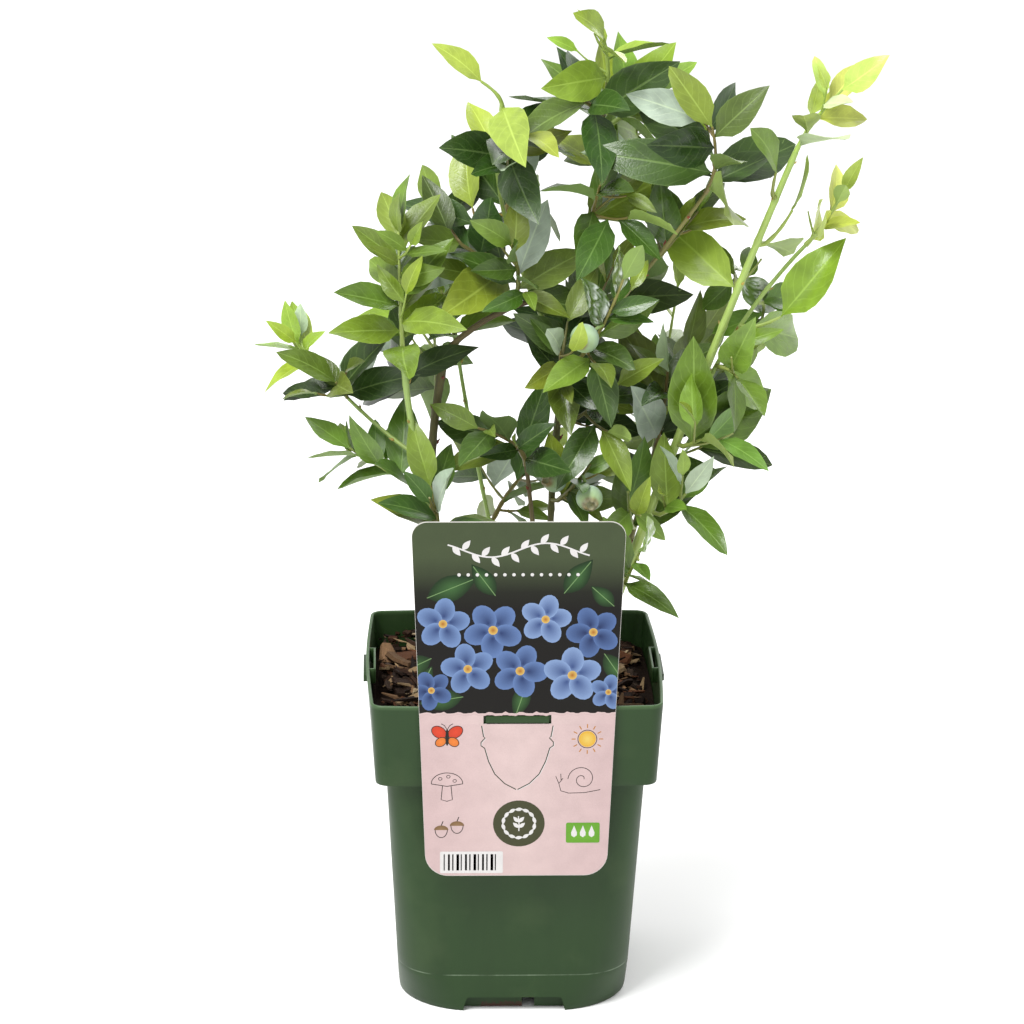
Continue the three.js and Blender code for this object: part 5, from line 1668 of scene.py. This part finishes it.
def leaf_colour(blade, dice):
    """The linear colour of one leaf: its spray's own, older or younger, lighter at a shoot's tip, and for
    a few a painted sheen.
    """
    mass, age = blade["mass"], dice()
    young = 0.3 * max(0, blade["place"] - 0.8) / 0.2 + 0.42 * max(0, age - 0.72) / 0.28
    spread = 0.35 if mass["tone"] in ("lime", "pale") else 0.7
    shade = 1 + spread * (dice() - 0.52)
    warm = np.array([1 + 0.26 * (dice() - 0.4), 1, 1 + 0.35 * (dice() - 0.45)])
    colour = tone_of(LEAF_TONES[mass["tone"]]) * (1 - young) + YOUNG_LEAF * young
    colour = colour * shade * warm * SHADED.get(mass["name"], (1, 1, 1))
    # Leaves of one age are mixed towards that grey-green as a painted sheen.
    bloom_and_sheen = PAINTED_SHEEN["share"] if PAINTED_SHEEN["from"] < age < PAINTED_SHEEN["to"] else 0
    return colour * (1 - bloom_and_sheen) + PAINTED_SHEEN_TONE * bloom_and_sheen


# %% [markdown]
# ## Leaf finish
#
# The face of the leaf is dark, waxy and smooth, so it mirrors the sky in a soft sheen. A thin pale midrib
# and six or seven pairs of side veins arch towards the tip and lie in shallow grooves, with a faint net
# between them, and the margin is a thin pale line. Underneath the leaf is matt and lighter, with the
# veins standing out. All of it is drawn from the leaf's own map: u runs along the blade, v across it.

# %% leaf material
leaf_skin, shader, add = new_material("Waxy_blueberry_leaf")
dealt = add("Attribute", attribute_name="leaf_colour")
below = dealt.node.outputs["Alpha"]
along_u, across_v, _ = add("SeparateXYZ", [add("UVMap", uv_map="blade")]).node.outputs
where = add("TexCoord", out=3)
mottle = add("TexNoise", [where], Scale=120.0, Detail=3.0)
centred = add("Math", [across_v, 2, -1], operation="MULTIPLY_ADD")
aside = add("Math", [centred], operation="ABSOLUTE")
# Side veins: lines of u - 0.2 aside - 0.12 aside^2 at even steps, so that they arch to the tip.
arch = add("Math", [aside, 0.12, 0.2], operation="MULTIPLY_ADD")
reach = add("Math", [arch, aside], operation="MULTIPLY")
start = add("Math", [along_u, reach], operation="SUBTRACT")
wobble = add("Math", [mottle, 0.9], operation="MULTIPLY")
steps = add("Math", [start, 7, wobble], operation="MULTIPLY_ADD")
saw = add("Math", [steps, 0.5], operation="PINGPONG")
side_vein = add("MapRange", [saw, 0.0, 0.1, 0.38, 0.0], interpolation_type="SMOOTHSTEP")
midrib = add("MapRange", [aside, 0.015, 0.075, 1.0, 0.0], interpolation_type="SMOOTHSTEP")
vein = add("Math", [side_vein, midrib], operation="MAXIMUM")
margin = add("MapRange", [aside, 0.94, 0.985, 0.0, 0.5])
net = add("TexVoronoi", [where], feature="DISTANCE_TO_EDGE", Scale=560.0)
quilt = add("MapRange", [net, 0.0, 0.3, 0.0, 0.4], interpolation_type="SMOOTHSTEP")
shade = add("MapRange", [mottle, 0.3, 0.7, 0.8, 1.2])
face = add("VectorMath", {0: dealt, "Scale": shade}, operation="SCALE")
vein_green = add("VectorMath", [dealt, (1.3, 1.25, 1.2), (0.09, 0.125, 0.045)], operation="MULTIPLY_ADD")
lines = add("Math", [vein, margin], operation="MAXIMUM")
line_share = add("Math", [lines, 0.62], operation="MULTIPLY")
veined = add("Mix", {0: line_share, 6: face, 7: vein_green}, **COLOUR_MIX)
lighter = add("Mix", {0: 0.4, 6: veined, 7: "#86a05e"}, **COLOUR_MIX)
leaf_green = add("Mix", {0: below, 6: veined, 7: lighter}, **COLOUR_MIX)
# Gloss: satin on the face, wet and bright on some sprays, and matt below.
wetness = add("TexNoise", [where], Scale=26.0, Detail=2.0)
gloss = add("MapRange", [wetness, 0.38, 0.62, 0.24, 0.44])
matt = add("Mix", {0: below, 2: gloss, 3: 0.6})
# Relief: quilted between the veins on the face, the other way round below.
groove = add("Math", [vein, -1.0, quilt], operation="MULTIPLY_ADD")
way = add("MapRange", [below, 0.0, 1.0, 1.0, -0.6])
height = add("Math", [groove, way], operation="MULTIPLY")
relief = add("Bump", {"Height": height}, Strength=0.3, Distance=0.0002)
fill(shader, {"Base Color": leaf_green, "Roughness": matt, "Normal": relief})
fill(shader, {"IOR": 1.5, "Specular IOR Level": 0.42})
print("leaf material with", len(leaf_skin.node_tree.nodes), "nodes")

# %% [markdown]
# ## All leaves, joined by tone
#
# Hundreds of separate objects would be slow to handle, so the leaves are joined into five pieces, one for
# each tone of green, and each piece stands for the masses of that tone.

# %% join the leaves


def leaf_piece(name, blades, flat, material, first_seed, blister=0.0):
    """One piece of many copies of a flat blade, each bent and coloured on its own, with the leaf's map."""
    corners, count = np.concatenate(flat["faces"]), len(flat["u"])
    below = np.repeat(flat["below"], [len(face) for face in flat["faces"]])
    points, faces, colours = [], [], []
    for number, blade in enumerate(blades):
        dice = seeded_dice(first_seed + number)
        points.append(bent_leaf(blade, dice, flat, blister))
        faces += [tuple(i + number * count for i in face) for face in flat["faces"]]
        colour = np.tile(leaf_colour(blade, dice), (count, 1))
        if blister:
            # A blistered leaf's folds are coloured silvery white towards their tops: a painted highlight.
            painted_fold_highlight = np.clip(puckers(flat, blade["length"])[:, None] * 1.7 - 0.75, 0, 0.9)
            colour = colour * (1 - painted_fold_highlight) + tone_of("#dbe4de") * painted_fold_highlight
        colours.append(colour[corners])
    piece = mesh_object(name, np.vstack(points), faces, material)
    corner_uv = np.stack([flat["u"][corners], (flat["v"][corners] + 1) / 2], axis=1)
    store_map(piece, "blade", np.tile(corner_uv, (len(blades), 1)))
    store_colours(piece, "leaf_colour", np.vstack(colours), np.tile(below, len(blades)), "CORNER")
    return piece


blistered = []
for mass_name, chosen in (("centre_knot", (1, 3)), ("right_glossy", (0, 2)), ("label_hanging", (0,))):
    own = [b for b in crowd.blades if b["mass"]["name"] == mass_name]
    blistered += [own[k] for k in chosen]
plain = [b for b in crowd.blades if not any(b is other for other in blistered)]
for tone in LEAF_TONES:
    blades = [b for b in plain if b["mass"]["tone"] == tone]
    piece = leaf_piece("leaves_" + tone, blades, plain_blade, leaf_skin, 7000)
    nodes = ["foliage_" + mass["name"] for mass in masses if mass["tone"] == tone]
    finish_piece(piece, 58, "leaves_" + tone, *nodes)
print(len(crowd.blades), "leaves")

# %% [markdown]
# ## A few wet, blistered leaves
#
# Some leaves near the front are wet and puckered: the skin is thrown up in wandering folds that shine
# silver, with dark hollows between. The shine is partly the clear coat and partly a painted highlight: the
# tops of the folds are coloured silvery white. A bump map would be enough from afar, but the folds also
# show at the margin. So these few get a finer grid, bent by the same function and then raised in folds.

# %% blistered leaves
BLISTER = 0.03  # height of the folds of a blistered leaf, of its length
wet_skin = leaf_skin.copy()
wet_skin.name = "Wet_blistered_leaf"
fill(wet_skin.node_tree.nodes["Principled BSDF"], {"Coat Weight": 1.0, "Coat Roughness": 0.1})
puckered = leaf_piece("leaves_blistered", blistered, flat_blade(44, 18, 18), wet_skin, 8100, BLISTER)
finish_piece(puckered, 58, "leaves_mid")

# %% [markdown]
# ## Young twigs
#
# The shoots that carry the leaves are thinner than a match and green to olive, with a flush of red on old
# sprays. They are short tubes of eight sides that swell and thin a little along their length, all joined
# into one piece.

# %% twigs
TWIG_TONES = {"dark": "#6a6a38", "deep": "#6f7439", "mid": "#7b8a42", "lime": "#8ea64e", "pale": "#9ab05a"}
RED_FLUSH = tone_of("#7c3f2c")
TWIG_SIDES, TWIG_STEP = 8, 2.2
TWIG_SLIM = 0.88  # of the radius in the CAD part
twig_pile, rows = Pile(), []
for number, mass in enumerate(masses):
    chance = np.random.default_rng(900 + number)
    own = tone_of(TWIG_TONES[mass["tone"]])
    for shoot in mass["shoots"]:
        length = span(shoot["curve"])
        steps = max(5, math.ceil(length / TWIG_STEP))
        wave = chance.uniform(0, 6.3)

        def swell(t, turns):
            bends = 1 + 0.1 * np.sin(2 * turns + wave) + 0.12 * math.sin(t * length * 0.9 + wave)
            return lerp(*shoot["radii"], t) * TWIG_SLIM * bends

        points, faces = sweep(shoot, TWIG_SIDES, steps, swell)
        rows += tube_map(faces, TWIG_SIDES, length, steps, shoot["radii"][0])
        share = chance.uniform(0, 0.28 if mass["tone"] in ("dark", "deep") else 0.12)
        tint = (own * (1 - share) + RED_FLUSH * share) * chance.uniform(0.85, 1.15)
        twig_pile.add(points, faces, tint)
twigs = twig_pile.made("young_twigs", young_rind, "rind")
store_map(twigs, "rind_map", rows)
finish_piece(twigs, 60, "green_shoot")

# %% [markdown]
# ## Green berries
#
# Unripe blueberries are round, pale grey-green and matt with a waxy bloom, and end in a crown: a shallow
# dish with five short points, left by the flower. One berry is modelled from a sphere: its end is pushed
# in and the edge of the dish is pulled out into points. Copies sit on short stalks.

# %% one berry
model = start_with(bpy.ops.mesh.primitive_uv_sphere_add, segments=30, ring_count=16, radius=1)
edit_all()
resize(1, 1, 0.9)
select_points(model, lambda co: co.z > 0.84)
bpy.ops.transform.translate(value=(0, 0, -0.16))
close_edit()
berry_points, berry_faces = taken_apart(model)
x, y, z = berry_points.T
from_axis = np.hypot(x, y)
crown_rim = (z > 0.6) & (from_axis > 0.36) & (from_axis < 0.6)
star = 0.5 + 0.5 * np.cos(5 * np.arctan2(y, x))
berry_points[:, 2] += np.where(crown_rim, 0.05 + 0.16 * star, 0)
at_crown = np.clip((berry_points[:, 2:] - 0.58) / 0.2, 0, 1) * (from_axis < 0.62)[:, None] * 0.8
at_stalk = np.clip(0.75 - 0.6 * berry_points[:, 2:], 0, 1)  # the bloom is thickest on that side
print("one berry:", len(berry_faces), "faces,", int(crown_rim.sum()), "points in its crown")

# %% berries on their stalks
FRUIT_LOOKS = np.array([-0.2, -1.1, 0.35])  # the dishes turn to the light as the fruit swells
STALK_SIDES, STALK_STEPS = 8, 6
fruit_pile = Pile()
for number, berry in enumerate(berries):
    chance = np.random.default_rng(60 + number)
    root, centre = berry["root"], berry["centre"]
    way = unit(berry["way"] + FRUIT_LOOKS)
    near = np.array([0.3, 0.1, 1.0]) if abs(way[2]) < 0.9 else np.array([1.0, 0, 0])
    green = tone_of("#8ca650") * chance.uniform(0.9, 1.1)
    green = green * (1 - at_stalk) + tone_of("#9fb7a6") * at_stalk
    green = green * (1 - at_crown) + tone_of("#7d5f3c") * at_crown
    fruit_pile.add(turned(berry_points * berry["radius"], way, near) + centre, berry_faces, green)
    stalk = {"curve": (root, (root + centre) / 2 + (0, 0, 0.6), centre)}
    swell = lambda t, turns: BERRY["stalk_radius"] * lerp(1, 1.3, t) * np.ones(len(turns))
    fruit_pile.add(*sweep(stalk, STALK_SIDES, STALK_STEPS, swell), tone_of("#7f9a4c"))
berry_skin, shader, add = new_material("Bloomed_green_berry")
own = add("Attribute", attribute_name="berry_tone")
bloom_and_sheen = add("TexNoise", [add("TexCoord", out=3)], Scale=330.0, Detail=4.0)
dusted = add("MapRange", [bloom_and_sheen, 0.4, 0.7, 0.0, 0.3])
wax = add("Mix", {0: dusted, 6: own, 7: "#a9bdae"}, **COLOUR_MIX)
dull = add("MapRange", [bloom_and_sheen, 0.0, 1.0, 0.35, 0.7])
relief = add("Bump", {"Height": bloom_and_sheen}, Strength=0.12, Distance=0.0003)
fill(shader, {"Base Color": wax, "Roughness": dull, "Normal": relief})
fruit = fruit_pile.made("green_berries", berry_skin, "berry_tone")
finish_piece(fruit, 60, "leaves_pale")

# %% [markdown]
# ## Floor, light and camera
#
# A plain studio: a near-white floor under an even white sky, one large soft lamp in front on the left and
# high up, a weaker one behind on the right, and a long lens a little above the pot's rim. The glossy
# leaves mirror the lamp and the sky.

# %% floor
floor = start_with(bpy.ops.mesh.primitive_plane_add, size=12)
floor.name = "studio_floor"
paper, shader, _ = new_material("Matt_white_paper")
fill(shader, {"Base Color": (0.97, 0.97, 0.97, 1), "Roughness": 0.9})
floor.data.materials.append(paper)
floor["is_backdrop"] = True
print("floor of", round(floor.dimensions.x), "by", round(floor.dimensions.y), "m")

# %% light
world = bpy.data.worlds.new("White_studio")
bpy.context.scene.world = world
world.use_nodes = True
fill(world.node_tree.nodes["Background"], {"Color": (1, 1, 1, 1), "Strength": 1.0})
LAMPS_LOOK_AT = Vector((0.02, 0, 0.24))
for name, place, size, power in (
    ("key_softbox", (-0.6, -0.8, 1.6), 0.8, 36),
    ("rim_softbox", (0.5, 1.3, 1.0), 0.9, 6),
):
    lamp = bpy.data.lights.new(name, "AREA")
    lamp.size = size
    lamp.energy = power
    holder = bpy.data.objects.new(name, lamp)
    bpy.context.collection.objects.link(holder)
    holder.location = place
    holder.rotation_euler = (LAMPS_LOOK_AT - Vector(place)).to_track_quat("-Z", "Y").to_euler()
    print(name, "of", power, "W and", size, "m across")

# %% camera
CAMERA = {"distance": 2004.28, "elevation": 17.841, "azimuth": -1.775, "roll": 0.429}
TARGET = np.array([-0.986, 0, 221.673])
SENSOR = 36
FOCAL = 4448.2 / 1024 * SENSOR  # millimetres
azimuth, elevation, roll = (math.radians(CAMERA[k]) for k in ("azimuth", "elevation", "roll"))
back = np.array([
    math.sin(azimuth) * math.cos(elevation),
    -math.cos(azimuth) * math.cos(elevation),
    math.sin(elevation),
])
right = unit(np.cross(-back, [0, 0, 1.0]))
up = np.cross(right, -back)
right, up = right * math.cos(roll) + up * math.sin(roll), up * math.cos(roll) - right * math.sin(roll)
lens = bpy.data.cameras.new("long_lens")
lens.lens = FOCAL
lens.sensor_width = SENSOR
lens.clip_end = 20
camera = bpy.data.objects.new("studio_camera", lens)
bpy.context.collection.objects.link(camera)
place = TARGET + back * CAMERA["distance"]
camera.matrix_world = Matrix([*np.column_stack([right, up, back, place * MM]).tolist(), [0, 0, 0, 1]])
bpy.context.scene.camera = camera
bpy.context.scene.view_settings.view_transform = "Standard"
print("camera at", (place * MM).round(3), "m")

# %% size and the last line
low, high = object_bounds()
print("scene from", [round(c, 4) for c in low], "to", [round(c, 4) for c in high])
